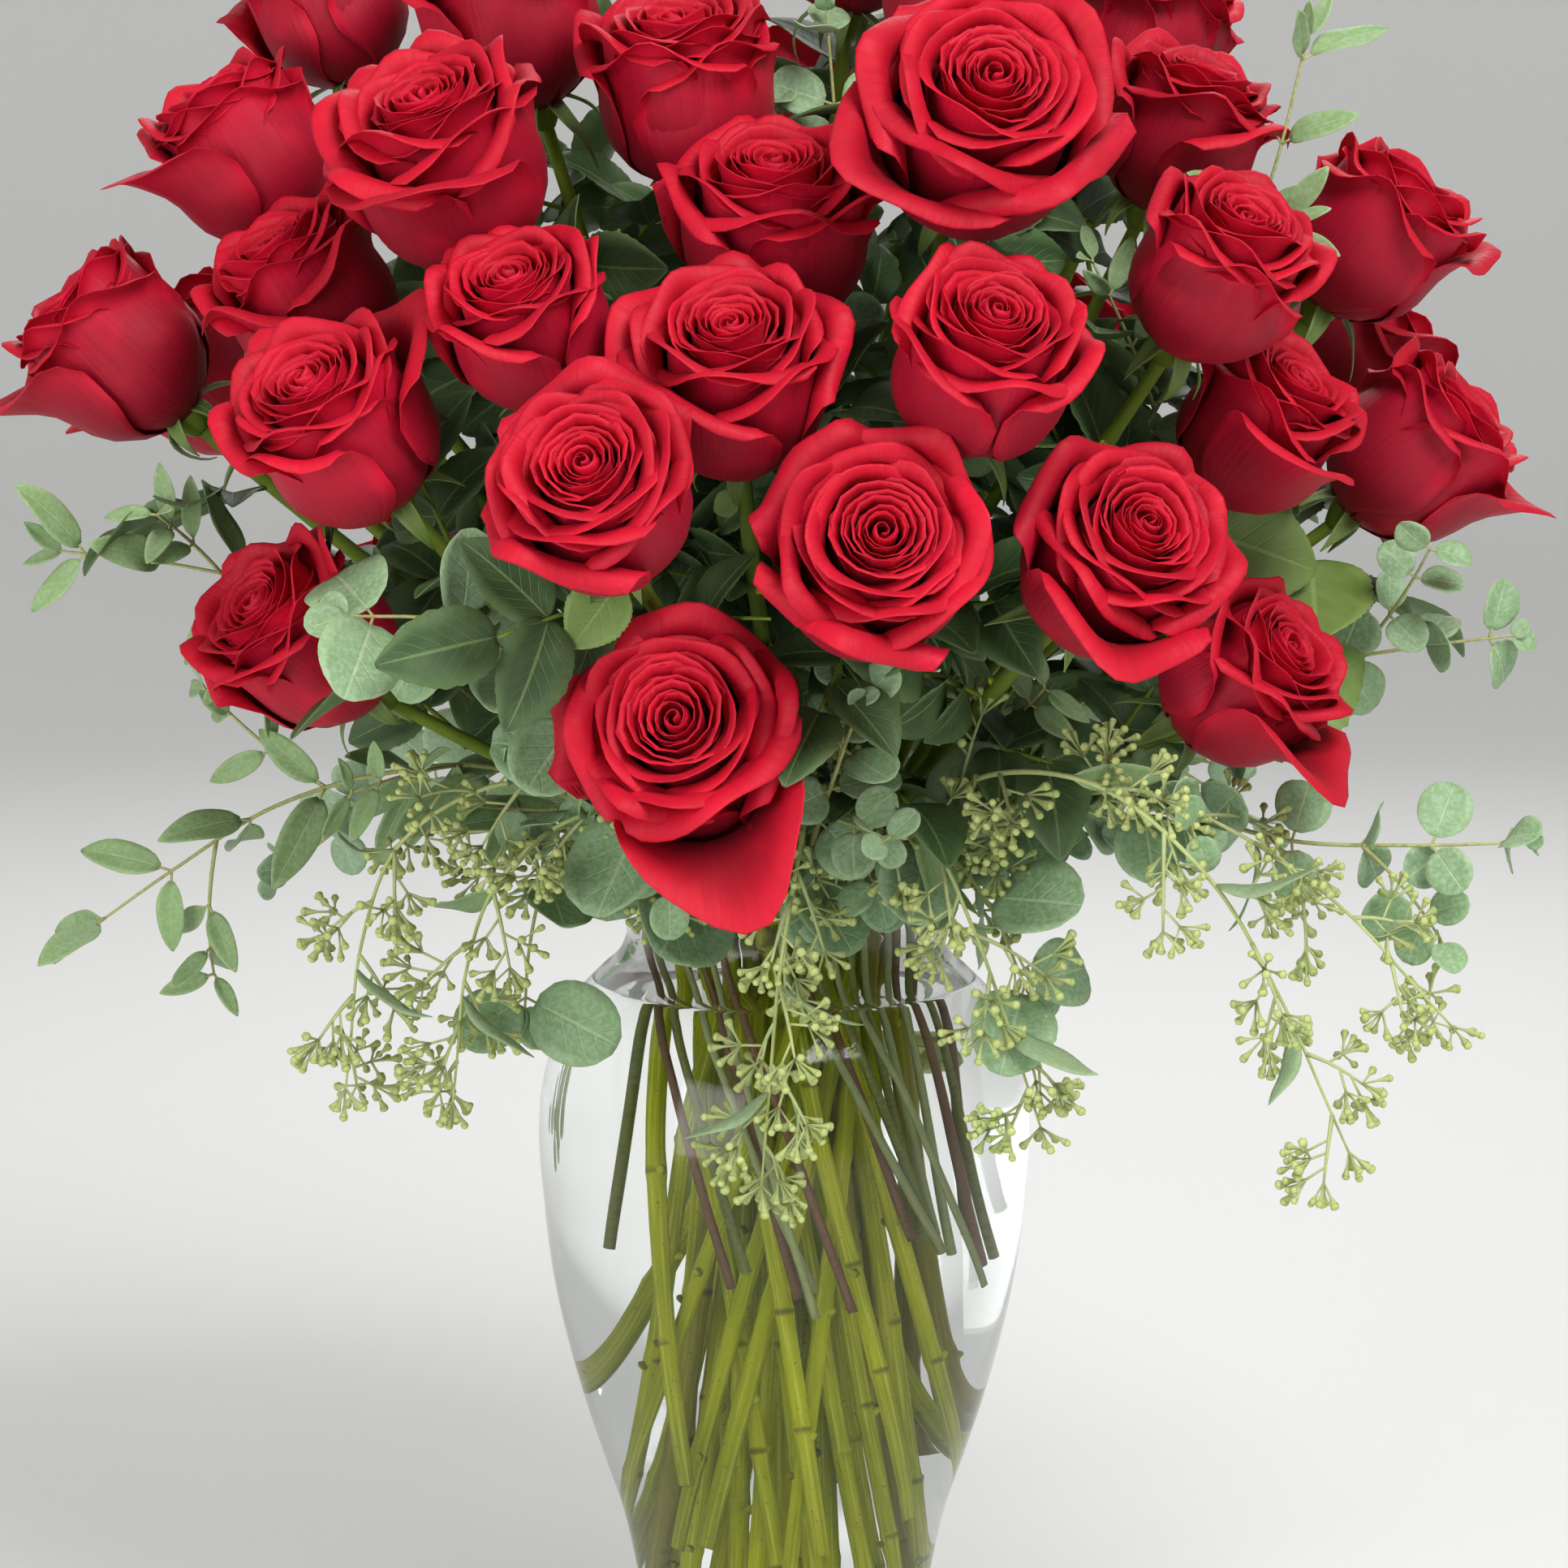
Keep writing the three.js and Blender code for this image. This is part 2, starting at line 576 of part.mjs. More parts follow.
const sprigSolid = (sprig) => bar(sprig.points, sprig.radius, SPRIG_SIDES);
const rosesBuilt = roses.map((rose) => ({ ...rose, solid: roseSolid(rose) }));
const sprigsBuilt = sprigs.map((sprig) => ({ ...sprig, solid: sprigSolid(sprig) }));
const parts = [vase, ...rosesBuilt, ...sprigsBuilt];

for (const sprig of sprigsBuilt) {
  grow(parts, sprig, sprig.kind === "seeded" ? sprigClusters(sprig) : sprigLeaves(sprig));
}
rosesBuilt.forEach((rose, index) => grow(parts, rose, roseLeaf(rose, index)));

const arrangement = new THREE.Group();
arrangement.name = "roses_in_vase";
arrangement.add(toMesh(vase));
for (const [name, members] of [["roses", rosesBuilt], ["greenery", sprigsBuilt]]) {
  const group = new THREE.Group();
  group.name = name;
  members.forEach((member) => group.add(toMesh(member)));
  arrangement.add(group);
}

export default arrangement;
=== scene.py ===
"""A bouquet of red roses and eucalyptus in a clear glass urn vase.

The file is laid out as an add-on: an operator makes each group of pieces, and the settings hold
the sizes and colours. Lengths are in metres, Z is up and the front of the bouquet faces -Y.
"""

import functools
import math

import bpy
import numpy as np
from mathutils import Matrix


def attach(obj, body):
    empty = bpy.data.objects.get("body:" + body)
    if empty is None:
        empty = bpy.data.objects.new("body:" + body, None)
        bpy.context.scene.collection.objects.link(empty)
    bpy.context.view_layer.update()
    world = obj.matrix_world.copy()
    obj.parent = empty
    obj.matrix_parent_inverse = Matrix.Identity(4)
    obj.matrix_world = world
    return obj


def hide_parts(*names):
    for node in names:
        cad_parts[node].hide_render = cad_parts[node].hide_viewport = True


bl_info = {
    "name": "Roses in a Vase",
    "version": (1, 0, 0),
    "blender": (4, 5, 0),
    "location": "View3D > Sidebar > Bouquet",
    "description": "Builds red roses and eucalyptus in a clear glass urn vase",
    "category": "Add Mesh",
}

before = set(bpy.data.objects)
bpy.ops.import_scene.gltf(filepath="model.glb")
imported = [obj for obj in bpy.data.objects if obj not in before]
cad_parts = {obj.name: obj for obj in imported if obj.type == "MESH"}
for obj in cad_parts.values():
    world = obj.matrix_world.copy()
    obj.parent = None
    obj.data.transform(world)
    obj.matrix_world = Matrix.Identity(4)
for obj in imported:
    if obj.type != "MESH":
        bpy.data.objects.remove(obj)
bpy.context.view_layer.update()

GOLDEN_TURN = math.pi * (3 - math.sqrt(5))
MM = 0.001

# Camera: the point it looks at, its distance and its rise, as the front view has them.
AIM_HEIGHT = 0.305
CAMERA_DISTANCE = 1.6
CAMERA_RISE = math.radians(8)
HALF_ANGLE = math.radians(8.6)
SENSOR_WIDTH = 36

# Lights: name, place, side of the square lamp and share of the key light's power. Then the
# point that they are turned to, and the floor's flat radius and the rise of its border.
LIGHTS = (
    ("key_light", (0.8, -1.5, 2.0), 1.1, 1.0),
    ("fill_light", (-1.2, -1.7, 0.5), 1.2, 0.42),
    ("back_light", (0.2, 1.6, 1.6), 1.2, 0.35),
)
LIGHTS_AIM = (0, 0, 0.35)
FLOOR_RADIUS = 2.4
FLOOR_RISE = 1.1

# Blooms: across and up in the front view, depth (-Y is nearest) and radius, in millimetres. Then
# how far each leans to the viewer, and how far it has opened, from 0 to 1.
FRONT_BLOOMS = (
    (-141, 240, -2, 29, 0, 0.6), (-83, 238, -42, 33, 0, 0.7), (-31, 214, -84, 32, 0, 0.6),
    (60, 203, -138, 37, 0.42, 0.9), (55, 246, -66, 29, 0, 0.6), (112, 231, -10, 29, 0, 0.7),
    (122, 201, -68, 28, 0, 0.8), (-166, 195, -42, 31, 0, 0.5), (-103, 191, -118, 35, 0.1, 0.8),
    (-3, 170, -116, 33, 0, 0.7), (133, 158, -124, 30, 0, 0.5), (182, 169, -42, 30, 0, 0.5),
    (-205, 134, -38, 32, 0, 0.5), (-146, 149, -80, 31, 0, 0.5), (-79, 141, -146, 28, 0, 0.5),
    (-15, 124, -160, 32, 0, 0.7), (61, 129, -172, 31, 0, 0.5), (-136, 109, -138, 32, 0, 0.6),
    (-57, 88, -197, 31, 0.12, 0.8), (28, 70, -176, 33, 0.3, 0.9), (147, 110, -90, 29, 0, 0.6),
    (195, 102, -38, 31, 0, 0.6), (-147, 44, -98, 32, 0, 0.5), (102, 69, -150, 32, 0.12, 0.9),
    (142, 32, -92, 29, 0, 0.7), (-30, 13, -152, 35, 0.15, 0.9),
)
# Blooms on the top and the back: their places, in millimetres, and radii.
BACK_BLOOMS = (
    (20, -14, 566, 30), (-36, 38, 574, 31), (56, 52, 560, 31), (108, 60, 505, 30),
    (0, 100, 508, 31), (-108, 60, 505, 30), (176, 36, 432, 31), (84, 118, 430, 32),
    (-84, 118, 430, 31), (-178, 36, 430, 31), (118, 80, 352, 31), (2, 118, 352, 32),
    (-118, 80, 350, 30),
)
# Blooms with a guard petal that leans out: the side it stands on, as an angle in the bloom's
# own plane, and its lean, both in radians.
GUARDS = {
    "rose_front_26": (-1.35, 1.25), "rose_front_13": (-1.6, 0.8), "rose_front_24": (-1.9, 0.8),
    "rose_front_08": (-1.4, 0.6), "rose_front_21": (-2.2, 0.6), "rose_front_04": (-2.5, 0.8),
    "rose_front_22": (-1.3, 0.65), "rose_front_09": (-1.2, 0.6), "rose_front_18": (0.9, 0.5),
    "rose_front_25": (-1.6, 0.9), "rose_front_12": (-0.9, 0.6), "rose_back_10": (-1.2, 0.7),
    "rose_back_07": (-1.6, 0.8), "rose_back_12": (-1.0, 0.9),
}
# Roses with a broad young leaf beside the bloom, and where its tip is: across, up and depth.
BROAD_LEAVES = {
    "rose_front_25": (180, 52, -40), "rose_front_16": (-22, 84, -128),
    "rose_front_19": (-66, 42, -168), "rose_front_21": (166, 66, -64),
    "rose_front_22": (165, 47, -80),
}
# The point that the blooms fan out from, a bloom's height over its radius, and how many petals
# it has in all and in its heart.
HUB = np.array((0.0, 0.0, 0.238))
BLOOM_HEIGHT = 1.62
PETALS = 33
HEART_PETALS = 17
# The room of a bloom, which leaves stay out of: a cylinder round its axis, from one height over
# its foot to another and so wide, over the bloom's radius.
ROOM_BOTTOM = 0.25
ROOM_TOP = 1.45
ROOM_RADIUS = 0.7

# The stems and twigs as the frame has them: the radius of a ring. Then how finely their middle
# lines are divided here.
STEM_RADIUS = 0.0027
TWIG_RADIUS = {"dollar": 0.0015, "willow": 0.0014, "seeded": 0.0013}
STEM_STEP = 0.003
TWIG_STEP = 0.004

# Heights: the vase's neck, just over its rim, where the stems start and end turning from the
# bright yellow-green, painted brighter than their skin to stand in for the light through the
# glass, to darker green, and the lowest leaf of a rose. Then a radius just over that of the vase's
# belly.
NECK_HEIGHT = 0.2585
RIM_HEIGHT = 0.272
YELLOW_HEIGHT = 0.255
GREEN_HEIGHT = 0.3
FIRST_LEAF_HEIGHT = 0.318
BELLY_RADIUS = 0.08
# The turn from one leaf, joint or branch to the next.
NEXT_TURN = 2.4
# The spur at a joint of a stem: places along it and the radius at each.
SPUR_STEPS = np.array((0, 0.0011, 0.0019, 0.0023))
SPUR_RADII = np.array((1.5, 1.3, 0.95, 0.4)) * MM
# The leaves of a rose: how far below the bloom they spring from the stem. Then their leaflets:
# the place on the stalk, how far each swings to its side, and its share of the full size.
LEAF_SPOTS = np.array((0.032, 0.055, 0.08, 0.11))
LEAFLETS = ((6, 0, 1.0), (4, 1.0, 0.86), (4, -1.0, 0.86), (2, 1.1, 0.7), (2, -1.1, 0.7))
# A bud: places along it, as shares of its length, and the radius at each in millimetres.
BUD_STEPS = np.array((0, 0.5, 0.7, 0.86, 0.95, 1.0))
BUD_RADII = np.array((0.32, 0.36, 0.75, 1.3, 1.15, 0.4))
# The water's overlap with the glass, the rise of its border, and how wide the border is.
WATER_OVERLAP = 0.00025
WATER_CLIMB = 0.0012
WATER_BORDER = 0.003

# Tips of the sprigs whose last ring a bud head or leaf hides: across, up and depth.
HIDDEN_TIPS = {
    "seeded_right_outer": (198, -66, -100), "seeded_front_centre": (-6, -112, -102),
    "seeded_left_outer": (-134, -82, -92), "seeded_left_inner": (-101, -86, -90),
    "dollar_neck_left": (-80, -70, -68), "seeded_back": (16, -92, 116),
}

# The vase's underside, its outer and inner profiles and the top of its lip: radius and height
# in millimetres.
VASE_UNDER = ((0, 1.2), (30, 1.2), (40, 0.9), (44.5, 0), (46.4, 0), (47.4, 0.5), (47.8, 1.6))
VASE_LIP = (47.2, 271.2)
VASE_OUTER = (
    (46.4, 0), (47.8, 1.6), (47.8, 4.5), (45.6, 9.5), (43.2, 18), (42.4, 29), (43.2, 41),
    (46.1, 55.5), (50.6, 76), (56.8, 94.5), (62.8, 113), (68, 132), (72, 151), (74.9, 175),
    (76.3, 198), (75.2, 211), (71.8, 224.5), (65.8, 238), (57, 247.5), (50.6, 254),
    (48.8, 261), (49.9, 265), (49.7, 269), (48.2, 271),
)
VASE_INNER = (
    (46, 270.4), (45, 268), (44.8, 257), (47.2, 252.4), (53.8, 246), (62.6, 236.4),
    (68.4, 223.4), (71.8, 210.6), (72.9, 198), (71.6, 175), (68.7, 151), (64.8, 132),
    (59.6, 113), (53.6, 94.5), (47.4, 76), (42.9, 55.5), (40, 41), (39, 29), (35, 19.5),
    (26, 15), (0, 14),
)


# ---------------------------------------------------------------- numbers and arrays


def unit(vectors):
    """Vectors of length 1 along the last axis: each is divided by its own length."""
    return vectors / np.maximum(np.linalg.norm(vectors, axis=-1, keepdims=True), 1e-12)


def ease(values, low, high):
    """0 up to low, 1 from high, and the smooth step 3x^2 - 2x^3 between them."""
    x = np.clip((values - low) / (high - low), 0, 1)
    return x * x * (3 - 2 * x)


def column(values):
    """A list of numbers as an array that spreads over the two axes of a grid."""
    return np.asarray(values, float)[:, None, None]


def smooth_path(points, count):
    """A curve through points: cubic pieces whose slopes are the mean slopes at the points,
    over the length of the chords, sampled at count even steps."""
    points = np.asarray(points, float)
    at = np.concatenate([[0], np.cumsum(np.linalg.norm(np.diff(points, axis=0), axis=1))])
    slope = np.gradient(points, at, axis=0)
    step = np.linspace(0, at[-1], count)
    i = np.clip(np.searchsorted(at, step) - 1, 0, len(at) - 2)
    gap = (at[i + 1] - at[i])[:, None]
    x = (step - at[i])[:, None] / gap
    return (
        (2 * x**3 - 3 * x**2 + 1) * points[i]
        + (x**3 - 2 * x**2 + x) * gap * slope[i]
        + (3 * x**2 - 2 * x**3) * points[i + 1]
        + (x**3 - x**2) * gap * slope[i + 1]
    )


def turned(vectors, axis, angle):
    """Vectors turned about unit axes by angles: the part along the axis stays, and the rest
    swings by cosine and sine."""
    c, s = np.cos(angle)[..., None], np.sin(angle)[..., None]
    along = (vectors * axis).sum(-1, keepdims=True) * axis
    return along + (vectors - along) * c + np.cross(axis, vectors) * s


def square_to(along):
    """For unit vectors, two more that make a square set with each: the first lies level."""
    level = np.stack([-along[..., 1], along[..., 0], 0 * along[..., 0]], -1)
    level = np.where(np.abs(level).sum(-1, keepdims=True) < 1e-6, (1.0, 0.0, 0.0), level)
    level = unit(level)
    return level, np.cross(along, level)


def way_round(along, angle):
    """The way straight out from each unit vector, at an angle round it from its level one."""
    level, up = square_to(along)
    angle = angle[..., None]
    return np.cos(angle) * level + np.sin(angle) * up


def lines_from(root, way, reach, steps):
    """Straight lines, one from each root along its way, with points at steps of its reach."""
    return root[:, None] + way[:, None] * (steps[None] * reach[:, None])[..., None]


def tapers(count, first, last, steps):
    """Radii for a number of tubes that thin evenly from the first, in millimetres."""
    return np.tile(np.linspace(first, last, steps) * MM, (count, 1))


def marks_for(shape, first=0.0, tone=0.0, back=0.0):
    """Marks for points of a shape. Each of the three is a number or an array that spreads."""
    marks = np.zeros((*shape, 3))
    for i, value in enumerate((first, tone, back)):
        marks[..., i] = value
    return marks


# ---------------------------------------------------------------- meshes


class Sheaf:
    """Gathers surfaces into one mesh. Each has points, faces, a UV for each face corner, and
    marks for each point: margin or joint, tone, back."""

    def __init__(self):
        self.points, self.marks, self.faces = [], [], []
        self.count = 0

    def add(self, points, marks, faces, uvs, slot=0, caps=None):
        """faces is an array of corners, three or four to a row, that count from the first of
        points, and uvs has a pair for each corner. caps are further faces, without a pattern."""
        points = points.reshape(-1, 3)
        self.points.append(points)
        self.marks.append(marks.reshape(-1, 3))
        self.faces.append((faces + self.count, uvs.reshape(-1, 2), slot))
        if caps is not None:
            self.faces.append((caps + self.count, np.zeros((caps.size, 2)), slot))
        self.count += len(points)

    def build(self, name, materials, slot, replaced=()):
        """One object that rides on the root body and stands for the replaced nodes. slot, the
        record's slot for its finish, is not used."""
        mesh = bpy.data.meshes.new(name)
        points = np.concatenate(self.points)
        mesh.vertices.add(len(points))
        mesh.vertices.foreach_set("co", points.astype(np.float32).ravel())
        corners = np.concatenate([faces.ravel() for faces, _, _ in self.faces])
        sizes = np.concatenate([np.full(len(f), f.shape[1]) for f, _, _ in self.faces])
        mesh.loops.add(len(corners))
        mesh.loops.foreach_set("vertex_index", corners.astype(np.int32))
        mesh.polygons.add(len(sizes))
        starts = np.concatenate([[0], np.cumsum(sizes)[:-1]])
        mesh.polygons.foreach_set("loop_start", starts.astype(np.int32))
        kinds = np.concatenate([np.full(len(f), kind) for f, _, kind in self.faces])
        mesh.polygons.foreach_set("material_index", kinds.astype(np.int32))
        mesh.polygons.foreach_set("use_smooth", np.ones(len(sizes), bool))
        layer = mesh.uv_layers.new(name="UVMap")
        uvs = np.concatenate([uvs for _, uvs, _ in self.faces])
        layer.uv.foreach_set("vector", uvs.astype(np.float32).ravel())
        marks = mesh.attributes.new("marks", "FLOAT_COLOR", "POINT")
        colours = np.column_stack([np.concatenate(self.marks), np.ones(len(points))])
        marks.data.foreach_set("color", colours.astype(np.float32).ravel())
        for material in materials:
            mesh.materials.append(material)
        mesh.update(calc_edges=True)
        if mesh.validate():
            raise ValueError(f"{name} has faces that are not valid")
        piece = bpy.data.objects.new(name, mesh)
        bpy.context.scene.collection.objects.link(piece)
        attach(piece, "root")
        if replaced:
            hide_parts(*replaced)


def grid_faces(across, along, wrap=False):
    """Quads over a grid of points that is numbered along its second axis first. Their normals
    are the first axis crossed with the second. With wrap, the first axis closes on itself."""
    i, j = np.meshgrid(np.arange(across if wrap else across - 1), np.arange(along - 1),
                       indexing="ij")
    n = (i + 1) % across
    return np.stack([i * along + j, n * along + j, n * along + j + 1, i * along + j + 1],
                    -1).reshape(-1, 4)


def wrapped_corners(sides, along):
    """For each quad of a wrapped grid, the places of its corners along the two axes."""
    i = np.arange(sides).repeat(along - 1)
    j = np.tile(np.arange(along - 1), sides)
    return np.stack([i, i + 1, i + 1, i], -1), np.stack([j, j, j + 1, j + 1], -1)


def end_caps(sides, along):
    """Triangles that shut both ends of a wrapped grid on the two points that follow it."""
    size = sides * along
    first = np.arange(sides) * along
    last = first + along - 1
    return np.concatenate([
        np.stack([np.full(sides, size), np.roll(first, -1), first], -1),
        np.stack([np.full(sides, size + 1), last, np.roll(last, -1)], -1)])


def repeated(faces, copies, size):
    """The same faces for each of a number of copies whose points follow one another."""
    shift = np.arange(copies)[:, None, None] * size
    return (faces[None] + shift).reshape(-1, faces.shape[1])


def add_shells(sheaf, points, thick, margin, tone, slot=0):
    """Thin closed leaves. points holds a grid for each, across by along. The front is moved out
    and the back in along the normal, which is the cross product of the grid's two slopes, by
    half of thick, and their borders are joined. thick thins to a third at the margin."""
    count, across, along = points.shape[:3]
    normal = unit(np.cross(np.gradient(points, axis=1), np.gradient(points, axis=2)))
    half = 0.5 * thick * (1 - 0.66 * margin)[..., None]
    size = across * along
    both = np.concatenate([(points + normal * half).reshape(count, size, 3),
                           (points - normal * half).reshape(count, size, 3)], 1)
    front = grid_faces(across, along)
    order = np.arange(size).reshape(across, along)
    border = np.concatenate([order[:-1, 0], order[-1, :-1], order[:0:-1, -1], order[0, :0:-1]])
    after = np.roll(border, -1)
    rim = np.stack([after, border, border + size, after + size], -1)
    faces = np.concatenate([front, front[:, ::-1] + size, rim])
    u, v = np.meshgrid(np.linspace(0, 1, across), np.linspace(0, 1, along), indexing="ij")
    uv = np.tile(np.column_stack([u.ravel(), v.ravel()]), (2, 1))
    margin = np.broadcast_to(margin, points.shape[:3]).reshape(count, 1, size)
    marks = marks_for((count, 2, size), margin, column(tone), np.array([[0], [1]]))
    uvs = np.tile(uv[faces], (count, 1, 1, 1))
    sheaf.add(both, marks, repeated(faces, count, 2 * size), uvs, slot)


def add_tubes(sheaf, paths, radii, sides, marks, slot=0, turn=None):
    """Closed tubes. paths holds a line of points for each and radii a radius for each point. A
    ring of points goes round the tangent at each, and a point in the middle shuts each end."""
    count, along = paths.shape[:2]
    tangent = unit(np.gradient(paths, axis=1))
    whole = unit(paths[:, -1] - paths[:, 0])
    level = square_to(whole)[0] if turn is None else turn
    level = np.broadcast_to(level[:, None], tangent.shape)
    side = unit(level - (level * tangent).sum(-1, keepdims=True) * tangent)
    up = np.cross(tangent, side)
    angle = np.linspace(0, 2 * math.pi, sides, endpoint=False)[None, :, None, None]
    rings = (paths[:, None] + radii[:, None, :, None]
             * (np.cos(angle) * side[:, None] + np.sin(angle) * up[:, None]))
    size = sides * along
    points = np.concatenate([rings.reshape(count, size, 3), paths[:, :1], paths[:, -1:]], 1)
    skin = repeated(grid_faces(sides, along, wrap=True), count, size + 2)
    caps = repeated(end_caps(sides, along), count, size + 2)
    lengths = np.linalg.norm(np.diff(paths, axis=1), axis=2)
    v = np.concatenate([np.zeros((count, 1)), np.cumsum(lengths, 1)], 1)
    i, j = wrapped_corners(sides, along)
    uvs = np.stack([np.broadcast_to(i / sides, (count, *i.shape)), v[:, j]], -1)
    spread = np.broadcast_to(marks[:, None], (count, sides, along, 3)).reshape(count, size, 3)
    spread = np.concatenate([spread, marks[:, :1], marks[:, -1:]], 1)
    sheaf.add(points, spread, skin, uvs, slot, caps)


def add_blades(sheaf, root, along, normal, length, width, shape, tone, droop, fold, rows,
               columns=5, wave=0.03, teeth=0, thick=0.0005, slot=0):
    """Leaf blades. A blade's half width at v is v^p (1 - v)^q, scaled to 1 at its widest, its
    midrib bends away from the normal as a circle does, and its sides fold up with the distance
    from the midrib. Teeth saw the margin. root, along and normal hold a vector for each. A
    blade that would cut into a bloom is left out."""
    count = len(root)
    along = unit(along)
    normal = unit(normal - (normal * along).sum(-1, keepdims=True) * along)
    side = np.cross(along, normal)
    u = np.linspace(-1, 1, columns)[None, :, None]
    v = np.linspace(0.015, 0.985, rows)[None, None, :]
    p, q = shape
    peak = p / (p + q)
    half = np.maximum(v**p * (1 - v) ** q / (peak**p * (1 - peak) ** q), 0.05)
    saw = 1 + (0.09 * ((v * teeth) % 1 - 0.5) * np.abs(u) ** 3 if teeth else 0)
    bend = column(np.broadcast_to(droop, count)) + 1e-4
    size, wide = column(length), column(width)
    ahead = size * np.sin(bend * v) / bend
    down = size * (1 - np.cos(bend * v)) / bend
    phase = column(tone) * 40
    sway = wave * size * np.sin(7 * v + phase) * np.abs(u) * half
    rise = fold * wide * np.abs(u) ** 1.5 * half + sway - down
    out = 0.5 * wide * half * u * saw
    points = (root[:, None, None] + ahead[..., None] * along[:, None, None]
              + out[..., None] * side[:, None, None] + rise[..., None] * normal[:, None, None])
    margin = np.broadcast_to(ease(np.maximum(np.abs(u), np.abs(2 * v - 1) ** 4), 0.75, 1),
                             points.shape[:3])
    free = clear_of_blooms(points)
    if free.any():
        add_shells(sheaf, points[free], thick, margin[free], tone[free], slot)


# ---------------------------------------------------------------- what the frame gives


def node_points(name):
    """The distinct corners of a CAD node."""
    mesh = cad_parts[name].data
    points = np.empty(len(mesh.vertices) * 3, np.float32)
    mesh.vertices.foreach_get("co", points)
    return np.unique(np.round(points.reshape(-1, 3).astype(float), 6), axis=0)


def stem_line(name):
    """Middles of the five-cornered rings of a rose's stem, from its cut end upwards. Corners
    closer than a ring's own spacing form a group, and a group of five that lie one stem radius
    from their mean is a ring."""
    points = node_points(name)
    gaps = np.linalg.norm(points[:, None] - points[None], axis=2)
    near = gaps < 1.33 * STEM_RADIUS
    group = np.arange(len(points))
    for _ in range(12):
        group = np.where(near, group[None], len(points)).min(1)
    members = (group[:, None] == group[None]).astype(float)
    middle = members @ points / members.sum(1)[:, None]
    reach = np.linalg.norm(points - middle, axis=1)
    odd = members @ (np.abs(reach - STEM_RADIUS) > 3e-5).astype(float)
    rings = np.unique(np.round(middle[(members.sum(1) == 5) & (odd == 0)], 6), axis=0)
    return rings[np.argsort(rings[:, 2])]


def twig_line(name):
    """Middles of the four-cornered rings of a sprig's twig, from its lower end to its tip. Two
    pairs of corners one diameter apart, crossing square at the same middle, are a ring."""
    points = node_points(name)
    diameter = 2 * TWIG_RADIUS[name.split("_")[0]]
    i, j = np.triu_indices(len(points), 1)
    chord = points[i] - points[j]
    fits = np.abs(np.linalg.norm(chord, axis=1) - diameter) < 3e-5
    chord, middle = chord[fits], ((points[i] + points[j]) / 2)[fits]
    same = np.linalg.norm(middle[:, None] - middle[None], axis=2) < 2e-5
    square = np.abs(chord @ chord.T) < 0.02 * diameter**2
    rings = np.unique(np.round(middle[(same & square).any(1)], 5), axis=0)
    keep = np.ones(len(rings), bool)
    keep[1:] = np.linalg.norm(np.diff(rings, axis=0), axis=1) > 1e-4
    rings = rings[keep]
    inside = (rings[:, 2] < NECK_HEIGHT) & (np.hypot(rings[:, 0], rings[:, 1]) < BELLY_RADIUS)
    low, rest = rings[inside], list(rings[~inside])
    line = list(low[np.argsort(low[:, 2])])
    while rest:
        gaps = [np.linalg.norm(ring - line[-1]) for ring in rest]
        line.append(rest.pop(int(np.argmin(gaps))))
    if name in HIDDEN_TIPS:
        line.append(seen(*(MM * value for value in HIDDEN_TIPS[name])))
    return np.array(line)


def seen(across, up, depth):
    """The point at a place in the front view, at a depth: where the line of sight from the
    camera crosses the plane y = depth."""
    c, s = math.cos(CAMERA_RISE), math.sin(CAMERA_RISE)
    rise = (up * (1 + depth * c / CAMERA_DISTANCE) - depth * s) / (c + up * s / CAMERA_DISTANCE)
    away = depth * c - rise * s
    return np.array((across * (1 + away / CAMERA_DISTANCE), depth, AIM_HEIGHT + rise))


@functools.cache
def all_blooms():
    """Each rose's name, the foot of its bloom, the way it faces, its radius and how open it is."""
    blooms = []
    for i, (across, up, depth, radius, lean, opened) in enumerate(FRONT_BLOOMS):
        place = seen(across * MM, up * MM, depth * MM)
        facing = unit(unit(place - HUB) + np.array((0, -lean, -0.6 * lean)))
        foot = place - 0.55 * BLOOM_HEIGHT * radius * MM * facing
        blooms.append((f"rose_front_{i + 1:02d}", foot, facing, radius * MM, opened))
    for i, (x, y, z, radius) in enumerate(BACK_BLOOMS):
        place = np.array((x, y, z)) * MM
        facing = unit(place - HUB)
        foot = place - 0.55 * BLOOM_HEIGHT * radius * MM * facing
        blooms.append((f"rose_back_{i + 1:02d}", foot, facing, radius * MM,
                       0.5 + 0.4 * ((i * 0.618) % 1)))
    return blooms


def clear_of_blooms(points):
    """Which grids of points stay out of the room of every bloom: a point is in it if its height
    along the bloom's axis and its distance from the axis are both within the cylinder's."""
    _, foot, facing, radius, _ = (np.array(part) for part in zip(*all_blooms()))
    away = points[..., None, :] - foot
    height = (away * facing).sum(-1)
    beside = np.linalg.norm(away - height[..., None] * facing, axis=-1)
    inside = ((height > ROOM_BOTTOM * radius) & (height < ROOM_TOP * radius)
              & (beside < ROOM_RADIUS * radius))
    return ~inside.any((1, 2, 3))


# ---------------------------------------------------------------- roses


